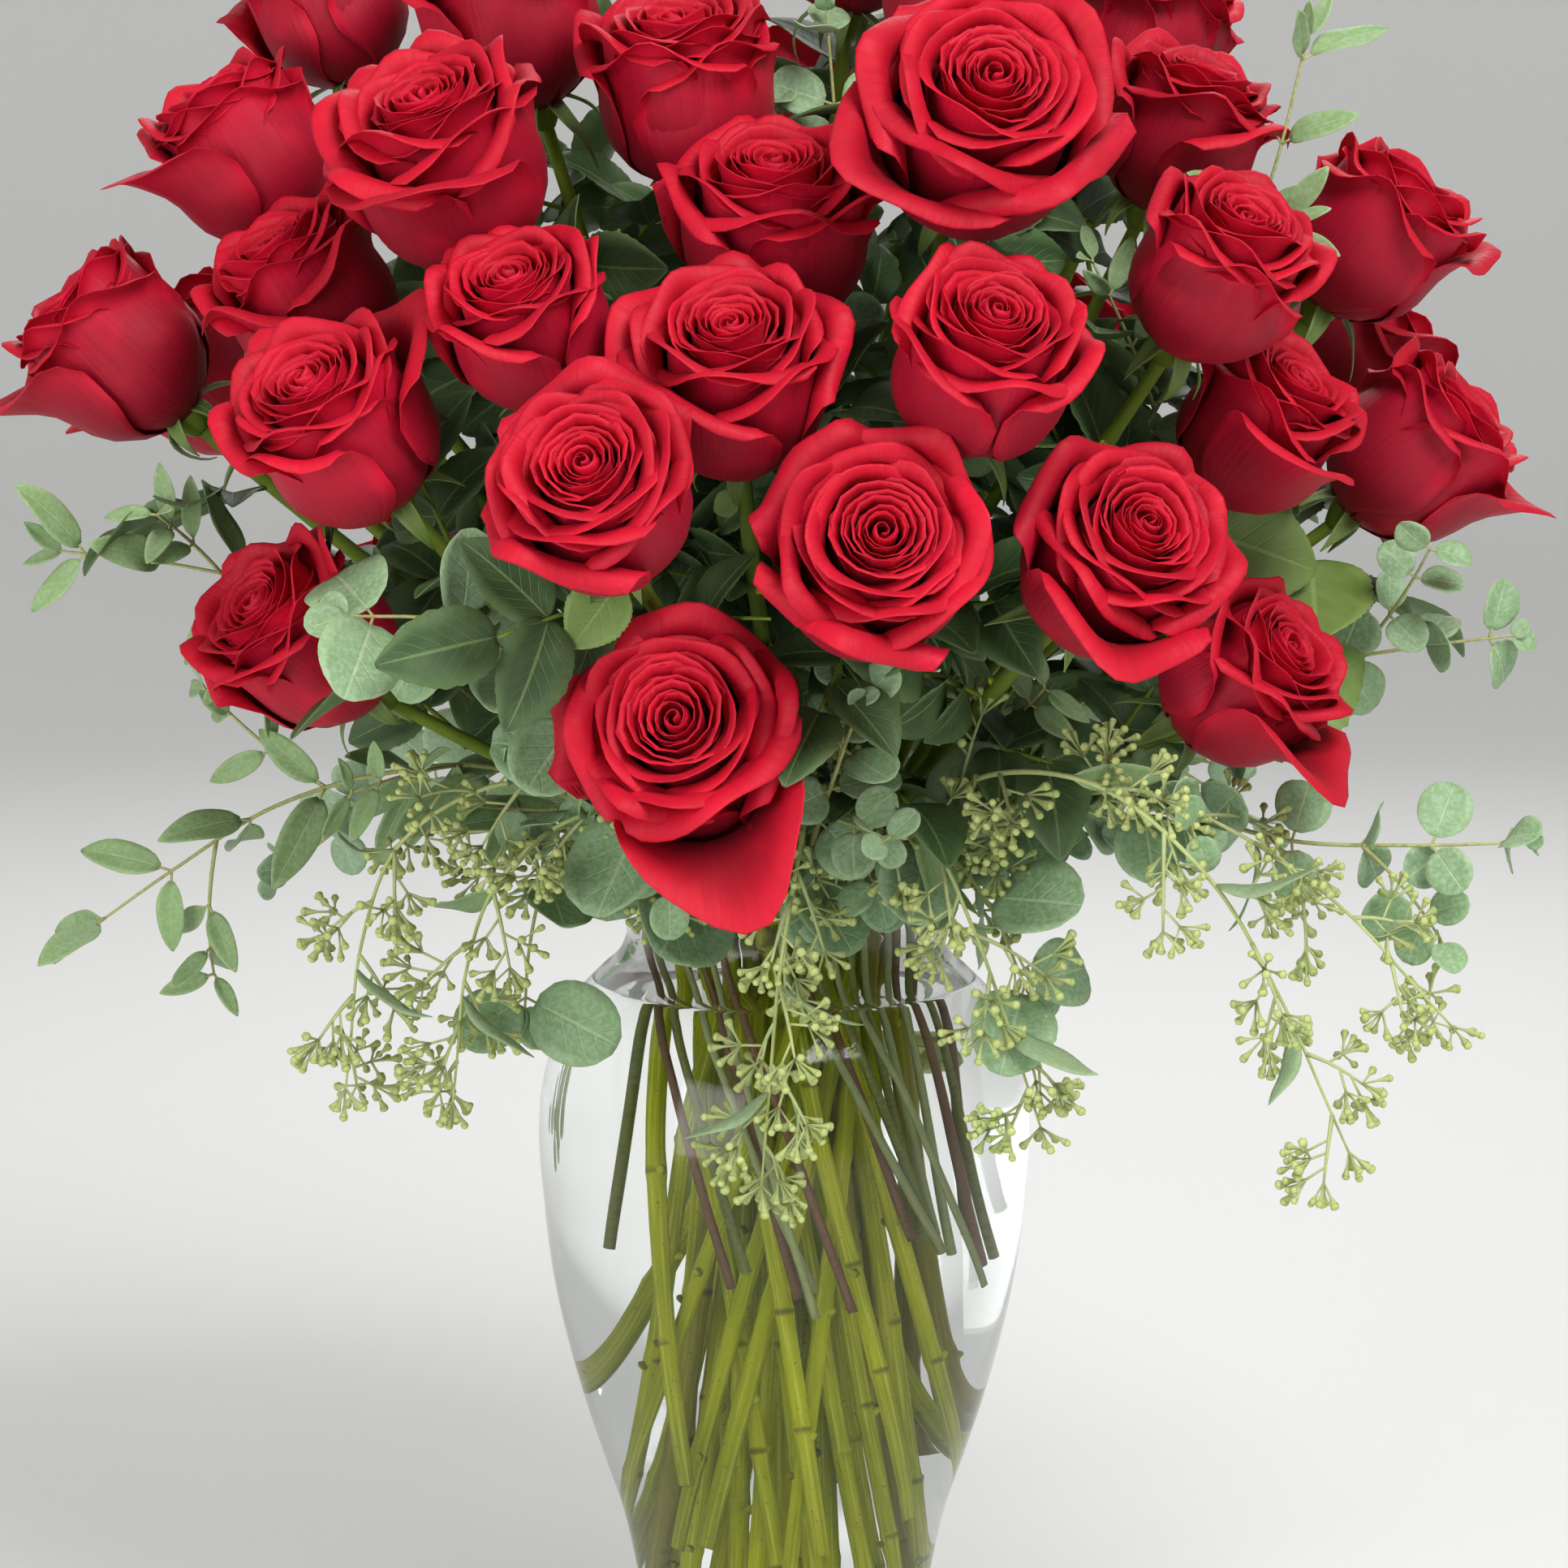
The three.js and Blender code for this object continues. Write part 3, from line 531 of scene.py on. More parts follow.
def petal_surfaces(order, opened, flare, rng, across, along):
    """Petals of a bloom of unit radius that stands on +Z. order runs from 0 at the heart to 1 at
    the guard petals.

    A petal is part of a cup. Along it, the radius grows as 1 - (1 - s)^2.5 up to the belly and
    draws in a little above it, and the height grows as s^1.15. Near its end the way it runs
    turns outwards, more at the shoulders than at the middle, so its margin rolls back and
    leaves a point. Across it, the angle round the axis runs either side of the petal's own,
    and the radius grows a little, so each tucks under the next. flare leans the last outwards."""
    q = column(order)
    count = len(order)

    def chance(low, high):
        return column(rng.uniform(low, high, count))

    u = np.linspace(-1, 1, across)[None, :, None]
    wing = np.abs(u)
    # The radius of its cup, the length that rolls back and how far it rolls.
    throat = 0.05 + (0.66 + 0.07 * opened) * q**0.95 * chance(0.95, 1.04)
    reach = (0.05 + (0.17 + 0.17 * opened) * q**1.6) * chance(0.75, 1.2)
    roll = np.where(q < 0.1, -0.5, 0.35 + (1.5 + 0.5 * opened) * q**1.3) * chance(0.75, 1.15)
    # Where it ends: lower at its sides, with a point near its middle. A guard petal is longer.
    tip = np.exp(-(((u - chance(-0.2, 0.2)) / 0.24) ** 2))
    end = 1 - (0.05 + 0.13 * q) * wing**4 + 0.08 * q * tip + chance(-0.08, 0.08) * q * u
    end = end - 0.16 * q * ease(wing, 0.75, 1.05)
    guard = flare * (q == 1)
    end = end + 0.1 * guard**2 * np.exp(-((u / 0.5) ** 2))
    roll = roll * (1 - 0.65 * guard)
    # The cup's profile: its radius and its height.
    part = reach * (1 + 0.5 * wing) / 1.7
    s = 1 - (1 - np.linspace(0, 1, along)[None, None, :]) ** 1.7
    s = s * end
    top = BLOOM_HEIGHT * (0.97 - 0.07 * q**2 - 0.09 * q**6) * chance(0.97, 1.03)
    top = top / (1 - 0.55 * reach / 1.7) ** 1.15
    foot = 0.02 + 0.1 * q
    belly = 1 - (1 - np.clip(s / 0.6, 0, 1)) ** 2.5
    cup = foot + (throat * (1.06 - 0.09 * ease(s, 0.5, 0.95)) - foot) * belly
    height = top * s**1.15
    # The way it runs at each step, turned outwards near its end, and summed up again.
    out, rise = np.diff(cup, axis=2), np.diff(height, axis=2)
    length, way = np.hypot(out, rise), np.arctan2(out, rise)
    middle = (s[..., 1:] + s[..., :-1]) / 2
    shoulder = (0.8 + 0.5 * ease(wing, 0.1, 0.5)) * (1 - 0.8 * ease(wing, 0.65, 1))
    way = way + roll * shoulder * ease(middle, end - part, end + 0.4 * part) * 1.3
    way = way + chance(-0.02, 0.13) * q**3 * ease(middle, 0.2, 0.6)
    way = way + guard * np.exp(-((u / 0.85) ** 2)) * ease(middle, 0.45, 0.8)
    radius = cup[..., :1] + np.cumsum(length * np.sin(way), 2)
    radius = np.concatenate([cup[..., :1] + 0 * radius[..., :1], radius], 2)
    rise = np.cumsum(length * np.cos(way), 2)
    z = np.concatenate([0 * rise[..., :1], rise], 2)
    # Ripples along its rim, a dent, a slight wave all over and a rib to its point.
    rim = ease(s, end - 1.3 * part, end)
    ripple = np.sin(chance(4, 7) * u + chance(0, 6)) * rim * q
    z = z + 0.03 * ripple
    dent = np.exp(-(((u - chance(-0.6, 0.6)) / 0.22) ** 2)) * ease(s, 0.35, 0.95)
    radius = radius * (1 - chance(-0.02, 0.05) * q * dent)
    radius = radius * (1 + 0.015 * np.sin(3 * u + chance(0, 6)) * np.sin(5 * s + chance(0, 6)))
    radius = radius + 0.025 * q * np.sin(6 * u + chance(0, 6)) * rim
    radius = radius * (1 + 0.09 * q**0.5 * (tip - 0.4) * ease(s, 0.4, 0.9))
    # One side lies outside the other, so that it tucks round its neighbours.
    coil = np.where(q < 0.1, 0.5, 0.035)
    radius = radius * (1 + coil * u * ease(s, 0.1, 0.6))
    wide = np.minimum(2.7, 0.84 / throat) * (0.5 + 0.5 * ease(s, 0, 0.5))
    turn = column(np.arange(count) * GOLDEN_TURN) + chance(-0.2, 0.2) + u * wide
    points = np.stack([radius * np.cos(turn), radius * np.sin(turn), z], -1)
    margin = np.maximum(rim, ease(wing, 0.8, 1) * (0.4 + 0.6 * s))
    return points, margin


def add_bloom(sheaf, foot, facing, radius, opened, rng, guard=None):
    """The petals of one bloom, set on its foot and turned to face its way. The heart and the
    rest are made apart, and each counts its turns from 0. guard gives the side that the last
    petal stands on, as an angle from the level one, and how far it leans out."""
    level, up = square_to(facing)
    spin = rng.uniform(0, 2 * math.pi)
    if guard:
        spin = guard[0] - (PETALS - HEART_PETALS - 1) * GOLDEN_TURN
    level, up = (level * math.cos(spin) + up * math.sin(spin),
                 up * math.cos(spin) - level * math.sin(spin))
    place = np.stack([level, up, facing]) * radius
    order = np.linspace(0, 1, PETALS)
    for part, across, along, thick in ((order[:HEART_PETALS], 11, 10, 0.35),
                                       (order[HEART_PETALS:], 19, 14, 0.45)):
        points, margin = petal_surfaces(part, opened, guard[1] if guard else 0.0, rng, across,
                                        along)
        add_shells(sheaf, points[:, ::-1] @ place + foot, thick * MM, margin[:, ::-1],
                   rng.uniform(0, 1, len(part)))


def add_calyx(sheaf, foot, facing, radius, rng):
    """The hip under a bloom, which swells from the stem to the petals, and its five sepals."""
    steps = np.linspace(-0.006, 0.005, 9)
    path = (foot + steps[:, None] * facing)[None]
    swell = STEM_RADIUS + 0.0032 * np.sin(np.linspace(0, 1, 9) * 2.2)
    add_tubes(sheaf, path, swell[None], 12, marks_for((1, 9), back=1))
    out = way_round(facing, np.arange(5) * 2 * math.pi / 5 + rng.uniform(0, 6))
    lift = rng.uniform(-0.9, 0.25, 5)[:, None]
    add_blades(sheaf, foot + 0.003 * facing + 0.0035 * out, unit(out + lift * facing),
               unit(facing - lift * out), radius * rng.uniform(0.5, 0.85, 5),
               np.full(5, 0.006), (0.25, 1.1), rng.uniform(0, 1, 5),
               droop=rng.uniform(0.5, 2.4, 5), fold=0.2, rows=10, slot=1)


def stem_path(name, foot, facing):
    """The middle line of a rose's stem: through the frame's rings, then to the hip."""
    rings = stem_line(name)
    rings = rings[np.linalg.norm(rings - foot, axis=1) > 0.02]
    points = np.concatenate([rings, [foot - 0.002 * facing]])
    length = np.linalg.norm(np.diff(points, axis=0), axis=1).sum()
    return smooth_path(points, int(length / STEM_STEP))


def add_stem(sheaf, path, rng):
    """A rose's stem with its joints. The radius swells at each joint as a bell curve of the
    distance along the stem, and a small spur, where a leaf was taken off, stands beside it."""
    along = np.arange(len(path)) * STEM_STEP
    joints = np.cumsum(rng.uniform(0.028, 0.052, 20))
    joints = joints[joints < along[-1] - 0.03]
    near = np.exp(-(((along[:, None] - joints[None]) / 0.0024) ** 2)).max(1)
    grow = rng.uniform(0.80, 1.02)
    radii = STEM_RADIUS * grow * (1 + 0.14 * near - 0.12 * ease(along, 0.2, along[-1]))
    marks = marks_for((1, len(path)), near, rng.uniform(),
                      ease(path[:, 2], YELLOW_HEIGHT, GREEN_HEIGHT))
    add_tubes(sheaf, path[None], radii[None], 10, marks)
    at = np.clip((joints / STEM_STEP).astype(int), 1, len(path) - 2)
    tangent = unit(path[at + 1] - path[at - 1])
    out = way_round(tangent, np.arange(len(at)) * NEXT_TURN + rng.uniform(0, 6))
    way = unit(out + 0.7 * tangent)
    spur = (path[at][:, None] + (out * 0.0019)[:, None]
            + way[:, None] * SPUR_STEPS[None, :, None])
    add_tubes(sheaf, spur, np.tile(SPUR_RADII, (len(at), 1)), 6, marks_for((len(at), 4), 1))


def add_rose_leaves(sheaf, path, rng):
    """Leaves of five toothed leaflets on the upper stem, each on a stalk that springs from it.
    The leaflets sit in pairs along the stalk with one at its end."""
    at = len(path) - 1 - (LEAF_SPOTS / STEM_STEP).astype(int)
    at = at[path[at, 2] > FIRST_LEAF_HEIGHT]
    if len(at) == 0:
        return
    tangent = unit(path[at + 1] - path[at - 1])
    out = way_round(tangent, np.arange(len(at)) * NEXT_TURN + rng.uniform(0, 6))
    way = unit(out + 0.75 * tangent)
    reach = rng.uniform(0.038, 0.05, len(at))
    steps = np.linspace(0, 1, 7)
    sag = np.array((0, 0, -1.0))
    stalk = lines_from(path[at], way, reach, steps) + sag * (0.004 * steps**2)[None, :, None]
    free = clear_of_blooms(stalk[:, None])
    at, stalk, way, tangent = at[free], stalk[free], way[free], tangent[free]
    if len(at) == 0:
        return
    add_tubes(sheaf, stalk, tapers(len(at), 0.9, 0.5, 7), 6, marks_for((len(at), 7), back=1),
              slot=1)
    face = unit(np.cross(np.cross(way, tangent), way) + rng.uniform(-0.5, 0.5, way.shape))
    side = np.cross(way, face)
    for place, swing, size in LEAFLETS:
        aim = unit(way * math.cos(swing) + side * math.sin(swing))
        length = size * rng.uniform(0.032, 0.042, len(at))
        add_blades(sheaf, stalk[:, place], aim, face + 0.2 * rng.uniform(-1, 1, face.shape),
                   length, 0.62 * length, (0.62, 0.85), rng.uniform(0, 1, len(at)),
                   droop=rng.uniform(0.2, 0.9, len(at)), fold=0.16, rows=23, wave=0.02,
                   teeth=11, thick=0.0004)


def add_broad_leaf(sheaf, path, tip, rng):
    """One broad toothed leaf from just under the hip to a tip. Its stalk takes the first fifth of
    the way, and it faces the front."""
    root = path[-5]
    reach = tip - root
    length = np.linalg.norm(reach)
    stalk = root + np.linspace(0, 0.2, 5)[:, None] * reach
    add_tubes(sheaf, stalk[None], np.full((1, 5), 0.8 * MM), 6, marks_for((1, 5), back=1),
              slot=1)
    add_blades(sheaf, stalk[-1:], reach[None] / length, np.array([(0.1, -1.0, 0.35)]),
               np.array([0.8 * length]), np.array([0.66 * length]), (0.55, 0.8),
               rng.uniform(0, 0.4, 1), droop=0.15, fold=0.1, rows=31, columns=9, wave=0.025,
               teeth=15, slot=2)


# ---------------------------------------------------------------- eucalyptus


def twig_path(name, beyond):
    """A sprig's middle line through the frame's rings, carried on past the last by a length."""
    points = twig_line(name)
    if beyond:
        last = unit(points[-1] - points[-2])
        points = np.concatenate([points, [points[-1] + beyond * last]])
    length = np.linalg.norm(np.diff(points, axis=0), axis=1).sum()
    return smooth_path(points, int(length / TWIG_STEP))


def add_twig(sheaf, path, thick, tone, slot):
    """A twig that thins evenly to its tip."""
    marks = marks_for((1, len(path)), np.linspace(0, 1, len(path)), tone)
    radii = thick * np.linspace(1, 0.2, len(path)) ** 0.8
    add_tubes(sheaf, path[None], radii[None], 8, marks, slot)


def places_on(path, start, stop, count, turn, rng):
    """Evenly spread places on a path between two shares of it: the points, tangents and ways
    out, each turned on from the last."""
    at = np.clip(np.linspace(start, stop, count) * (len(path) - 1), 1, len(path) - 2).astype(int)
    tangent = unit(path[at + 1] - path[at - 1])
    return path[at], tangent, way_round(tangent, np.arange(count) * turn + rng.uniform(0, 6))


def neck_share(path):
    """How far along a sprig's path its crossing of the vase's rim lies."""
    return np.argmax(path[:, 2] > RIM_HEIGHT) / len(path)


def add_pairs(sheaf, root, tangent, out, shrink, leaf, front, shares, rng):
    """Stalked leaves at places on a twig, two to a place, on opposite sides of it. They turn
    their faces to the front or the back of the bouquet and upwards. leaf holds their sizes."""
    count = len(root)
    for half in (0.0, math.pi):
        aside = turned(out, tangent, half + rng.uniform(-0.35, 0.35, count))
        size = shrink * rng.uniform(0.8, 1.12, count)
        length, width = leaf["length"] * size, leaf["width"] * size
        way = unit(aside + leaf["ahead"] * tangent + rng.uniform(-0.2, 0.2, aside.shape))
        line = lines_from(root, way, leaf["stalk"] * size, np.linspace(0, 1, 4))
        add_tubes(sheaf, line, np.full((count, 4), 0.45 * MM), 5,
                  marks_for((count, 4), shares[:, None]), 1)
        face = unit(np.array((0, front, 0.5)) + rng.uniform(-0.55, 0.55, aside.shape))
        add_blades(sheaf, line[:, -1] - way * 0.0006, way, face, length, width, leaf["shape"],
                   rng.uniform(0, 1, count), droop=rng.uniform(-0.3, 0.7, count),
                   fold=leaf["fold"], rows=11, columns=7)


def add_leafy_sprig(sheaf, path, thick, leaf, rng):
    """A eucalyptus sprig with pairs of stalked leaves that shrink towards its tip, and a few
    short side shoots that bear small ones."""
    add_twig(sheaf, path, thick, rng.uniform(), 1)
    start = neck_share(path) + 0.06
    front = -1.0 if path[-1, 1] < 0.03 else 1.0
    pairs = int(np.clip(len(path) * (1 - start) * TWIG_STEP / leaf["spacing"], 4, 14))
    root, tangent, out = places_on(path, start, 0.985, pairs, leaf["turn"], rng)
    shares = np.linspace(start, 1, pairs)
    add_pairs(sheaf, root, tangent, out, np.linspace(1, leaf["least"], pairs), leaf, front,
              shares, rng)
    end = unit(path[-1:] - path[-3:-2])
    add_pairs(sheaf, path[-1:] - 0.001 * end, end, out[-1:], np.array([0.5 * leaf["least"]]),
              {**leaf, "ahead": 1.5, "stalk": 0.002}, front, shares[-1:], rng)
    count = leaf["shoots"]
    root, tangent, out = places_on(path, start + 0.08, 0.86, count, 2.2, rng)
    way = unit(out + 0.9 * tangent + np.array((0, -0.3, 0.1)))
    steps = np.linspace(0, 1, 10)
    reach = rng.uniform(0.03, 0.05, count) * (0.8 - 0.2 * front)
    curl = (steps**2)[None, :, None] * rng.uniform(-0.008, 0.008, (count, 1, 3))
    shoot = lines_from(root, way, reach, steps) + curl
    add_tubes(sheaf, shoot, tapers(count, 0.7, 0.4, 10), 6, marks_for((count, 10), 0.8), 1)
    for place, shrink in ((4, 0.55), (7, 0.48), (9, 0.4)):
        out = way_round(way, rng.uniform(0, 6, count))
        add_pairs(sheaf, shoot[:, place], way, out, np.full(count, shrink), leaf, front,
                  np.full(count, 0.9), rng)


def add_buds(sheaf, heads, ways, rng):
    """Umbels of buds. Each head bears six stalked buds that open round its way. A bud is a thin
    stalk that swells to a club and closes in a blunt cap."""
    count, each = len(heads), 6
    turn = np.arange(each)[None] * GOLDEN_TURN + rng.uniform(0, 6, count)[:, None]
    open_to = rng.uniform(0.35, 1.15, (count, each))
    open_to[:, 0] = 0.1
    flat = way_round(ways[:, None], turn)
    way = unit(np.cos(open_to)[..., None] * ways[:, None] + np.sin(open_to)[..., None] * flat)
    length = rng.uniform(0.0068, 0.0105, (count, each, 1))
    line = heads[:, None, None] + way[:, :, None] * (length * BUD_STEPS)[..., None]
    radii = rng.uniform(0.85, 1.2, (count, each, 1)) * BUD_RADII * MM
    marks = marks_for((count * each, 6), BUD_STEPS, rng.uniform(0, 1, count * each)[:, None])
    add_tubes(sheaf, line.reshape(-1, 6, 3), radii.reshape(-1, 6), 6, marks, 0,
              turn=square_to(way.reshape(-1, 3))[0])


def add_seeded_sprig(sheaf, path, rng):
    """A seeded eucalyptus sprig: side branches along its twig, each with umbels of buds on
    short stalks, and a few long leaves."""
    add_twig(sheaf, path, TWIG_RADIUS["seeded"], rng.uniform(), 0)
    start = neck_share(path) + 0.05
    count = 13
    root, tangent, out = places_on(path, start, 0.97, count, NEXT_TURN, rng)
    way = unit(out + 0.9 * tangent)
    reach = np.linspace(0.03, 0.014, count) * rng.uniform(0.8, 1.2, count)
    steps = np.linspace(0, 1, 6)
    sag = np.array((0, 0, -1.0)) * (steps**2)[None, :, None] * (0.22 * reach)[:, None, None]
    branch = lines_from(root, way, reach, steps) + sag
    add_tubes(sheaf, branch, tapers(count, 0.75, 0.4, 6), 6, marks_for((count, 6)))
    heads, ways = [branch[:, -1], path[-1:]], [way, unit(path[-1:] - path[-3:-2])]
    for share, swing in ((2, 0.9), (3, -1.0), (4, 0.8)):
        aside = way_round(way, rng.uniform(0, 6, count))
        twist = unit(way * math.cos(swing) + aside * abs(math.sin(swing)))
        stalk = branch[:, share][:, None] + twist[:, None] * (
            np.linspace(0, 0.007, 4)[None, :, None])
        add_tubes(sheaf, stalk, np.full((count, 4), 0.42 * MM), 5, marks_for((count, 4)))
        heads.append(stalk[:, -1])
        ways.append(twist)
    add_buds(sheaf, np.concatenate(heads), np.concatenate(ways), rng)
    root, tangent, out = places_on(path, start, 0.9, 5, 2.0, rng)
    length = rng.uniform(0.024, 0.038, 5)
    add_blades(sheaf, root, unit(out + 0.8 * tangent), unit(tangent - 0.3 * out), length,
               0.26 * length, (0.7, 1.0), rng.uniform(0, 1, 5),
               droop=rng.uniform(0.2, 0.9, 5), fold=0.12, rows=11, slot=1)


# ---------------------------------------------------------------- vase and water


def add_turned(sheaf, profile, sides):
    """A closed surface of revolution: a profile of radius and height that starts and ends on
    the axis is carried round it. The two ends on the axis are one point each. The UV is the
    angle and the length along the profile."""
    profile = np.asarray(profile, float)
    ring = profile[1:-1]
    angle = np.linspace(0, 2 * math.pi, sides, endpoint=False)[:, None]
    points = np.stack([ring[:, 0] * np.cos(angle), ring[:, 0] * np.sin(angle),
                       np.broadcast_to(ring[:, 1], (sides, len(ring)))], -1).reshape(-1, 3)
    poles = np.array([(0, 0, profile[0, 1]), (0, 0, profile[-1, 1])])
    points = np.concatenate([points, poles])
    i, j = wrapped_corners(sides, len(ring))
    uvs = np.stack([i / sides, j / len(ring)], -1)
    sheaf.add(points, marks_for((len(points),)), grid_faces(sides, len(ring), wrap=True), uvs,
              caps=end_caps(sides, len(ring)))


def vase_profile():
    """The vase from the middle of its underside, up the outside, over the rolled rim and down
    the inside, with a smooth curve through the listed points."""
    outside = smooth_path(VASE_OUTER[2:-1], 150)
    inside = smooth_path(VASE_INNER[1:], 140)
    rim = smooth_path([*VASE_OUTER[-4:], VASE_LIP, *VASE_INNER[:3]], 41)
    rim = rim[(rim[:, 1] > VASE_OUTER[-2][1]) | (rim[:, 0] < VASE_INNER[0][0])]
    rim = rim[rim[:, 1] > VASE_INNER[1][1]]
    return np.concatenate([VASE_UNDER, outside, rim, inside]) * MM


def water_profile(level):
    """The water from the middle of its bottom, up just within the glass, to a surface that
    climbs the glass by a millimetre, as an exponential of the distance from it."""
    inside = smooth_path(VASE_INNER, 110)[::-1] * MM
    wall = inside[(inside[:, 1] < level) & (inside[:, 0] > 0)]
    wall[:, 0] += WATER_OVERLAP
    edge = np.interp(level, inside[:, 1], inside[:, 0])
    steps = np.linspace(1, 0, 22)[1:]
    climb = level - WATER_CLIMB * (1 - np.exp(-((1 - steps) * edge / WATER_BORDER)))
    top = np.column_stack([steps * edge, climb])
    start = np.array([(0, 0.014 - WATER_OVERLAP)])
    return np.concatenate([start, wall, [(edge, level)], top])


# ---------------------------------------------------------------- materials

# Streaks and patches of the stems' skin, the pale streaks partly painted highlights, and its
# colour above the vase.
PALE_STREAK_AND_HIGHLIGHT = (0.80, 0.84, 0.16)
OLIVE_STREAK = (0.20, 0.26, 0.01)
BROWN_SKIN = (0.26, 0.20, 0.05)
DARK_GREEN_SKIN = (0.10, 0.17, 0.03)
# Buds, bark, the haze on a leaf and the tooth of the floor.
BUD_SEAM = (0.16, 0.19, 0.05)
BUD_CLOUD = (0.30, 0.36, 0.12)
BUD_SHADE = (0.26, 0.33, 0.10)
OLIVE_BARK = (0.24, 0.28, 0.06)
DARK_BARK = (0.10, 0.07, 0.03)
HAZE = (0.54, 0.68, 0.55)
FLOOR_TOOTH = (0.7, 0.7, 0.7)
# Leaves: the underside, the veins, the number of side veins and the strength of the haze.
LEAF_LOOKS = {
    "rose leaf": (None, (0.20, 0.30, 0.10), 8, 0),
    "rose sepal": ((0.24, 0.32, 0.12), (0.26, 0.36, 0.12), 6, 0),
    "round eucalyptus leaf": ((0.29, 0.43, 0.26), (0.42, 0.52, 0.28), 5, 0.24),
    "narrow eucalyptus leaf": ((0.28, 0.39, 0.22), (0.40, 0.48, 0.26), 8, 0.16),
    "seeded eucalyptus leaf": ((0.24, 0.34, 0.18), (0.38, 0.46, 0.24), 8, 0.12),
}
SEPAL_COLOUR = (0.13, 0.21, 0.04)


class Wire:
    """A shader socket that can be written in sums: 1 - wire * 0.5 adds the Math nodes."""

    def __init__(self, paint, socket):
        self.paint, self.socket = paint, socket

    def math(self, operation, other=0.0, swap=False):
        """A Math node on this wire and another value, which comes first if they are swapped."""
        first, second = (other, self) if swap else (self, other)
        return self.paint.node("ShaderNodeMath", {"operation": operation}, {0: first, 1: second})

    def __add__(self, other):
        return self.math("ADD", other)

    def __sub__(self, other):
        return self.math("SUBTRACT", other)

    def __rsub__(self, other):
        return self.math("SUBTRACT", other, swap=True)

    def __mul__(self, other):
        return self.math("MULTIPLY", other)

    def __abs__(self):
        return self.math("ABSOLUTE")

    __radd__ = __add__
    __rmul__ = __mul__


class Paint:
    """One material and its nodes."""

    def __init__(self, name):
        self.material = bpy.data.materials.new(name)
        self.material.use_nodes = True
        self.tree = self.material.node_tree
        self.tree.nodes.clear()

    def node(self, kind, settings=None, inputs=None, output=0):
        """Adds a node: its settings first, then values or wires for its inputs."""
        made = self.tree.nodes.new(kind)
        for key, value in (settings or {}).items():
            setattr(made, key, value)
        for key, value in (inputs or {}).items():
            if isinstance(value, Wire):
                self.tree.links.new(value.socket, made.inputs[key])
            else:
                made.inputs[key].default_value = value
        return Wire(self, made.outputs[output])

    def mix(self, factor, first, second):
        """A colour between two, by a factor. Each is a wire or three numbers."""
        first, second = (c if isinstance(c, Wire) else (*c, 1) for c in (first, second))
        return self.node("ShaderNodeMix", {"data_type": "RGBA"},
                         {0: factor, 6: first, 7: second}, 2)

    def layers(self, colour, *coats):
        """A colour under coats, each of which is a factor and a colour."""
        for factor, coat in coats:
            colour = self.mix(factor, colour, coat)
        return colour

    def ease(self, value, low, high):
        """0 up to low and 1 from high, with a smooth step between."""
        return self.node("ShaderNodeMapRange", {"interpolation_type": "SMOOTHSTEP"},
                         {0: value, 1: low, 2: high})

    def uv(self):
        """The two parts of the UV map."""
        split = self.node("ShaderNodeSeparateXYZ", None, {0: self.node("ShaderNodeUVMap", {
            "uv_map": "UVMap"})})
        return split, Wire(self, split.socket.node.outputs[1])

    def marks(self):
        """Margin or joint, tone, and back."""
        colour = self.node("ShaderNodeAttribute", {"attribute_name": "marks"}, None, "Color")
        split = self.node("ShaderNodeSeparateColor", None, {0: colour})
        return [Wire(self, split.socket.node.outputs[i]) for i in range(3)]

    def noise(self, scale, detail, vector=None):
        """Cloudy noise from 0 to 1, on Object coordinates unless another vector is given."""
        if vector is None:
            vector = self.node("ShaderNodeTexCoord", None, None, "Object")
        return self.node("ShaderNodeTexNoise", None,
                         {"Vector": vector, "Scale": scale, "Detail": detail})

    def vector(self, x, y, z):
        """A vector from its three parts."""
        return self.node("ShaderNodeCombineXYZ", None, {0: x, 1: y, 2: z})

    def bump(self, height, strength, distance):
        """A normal from a height in metres at full distance."""
        return self.node("ShaderNodeBump", None,
                         {"Height": height, "Strength": strength, "Distance": distance})

    def finish(self, **inputs):
        """The Principled shader, with its inputs by name, and the output."""
        named = {key.replace("_", " "): value for key, value in inputs.items()}
        shader = self.node("ShaderNodeBsdfPrincipled", None, named)
        output = self.tree.nodes.new("ShaderNodeOutputMaterial")
        self.tree.links.new(shader.socket, output.inputs["Surface"])
        return self.material


def petal_material(settings):
    """Velvety petals: deep red inside, a little pinker outside and painted lighter there as if
    lit, a painted highlight along the margin and painted shade towards the foot, with fine veins
    that fan out from the foot."""
    paint = Paint("rose petals")
    u, v = paint.uv()
    margin, tone, back = paint.marks()
    veins = paint.noise(1.0, 3.0, paint.vector((u - 0.5) * 46, v * 2.2, tone * 9))
    cloud = paint.noise(55.0, 3.0)
    face = paint.layers(
        settings.petal_colour,
        # The outside of a petal is a little pinker than the inside, and painted lighter, as if
        # lit.
        (back, settings.petal_back_colour),
        # Painted shade: the inside of a petal darkens towards its foot, deep in the cup, and its
        # outside less so.
        (paint.ease(v, 0.85, 0.3) * (0.95 - back * 0.4), settings.petal_shade_and_vein_colour),
        # Painted highlight: the margin is lightened, as a lit rim would be.
        (margin * 0.4, settings.petal_highlight_and_blotch_colour),
        ((veins - 0.3) * 0.4, settings.petal_shade_and_vein_colour),
        (paint.ease(cloud, 0.5, 0.75) * 0.35, settings.petal_highlight_and_blotch_colour),
        (tone * 0.25, settings.petal_shade_and_vein_colour))
    height = veins * 0.9 + cloud * 0.6
    return paint.finish(Base_Color=face, Roughness=0.5 + veins * 0.2,
                        Normal=paint.bump(height, 0.5, 0.0006), Sheen_Weight=0.04,
                        Sheen_Roughness=0.45, Sheen_Tint=(1.0, 0.22, 0.3, 1),
                        Subsurface_Weight=0.08, Subsurface_Radius=(1.0, 0.15, 0.12),
                        Subsurface_Scale=0.003, Specular_IOR_Level=0.25)


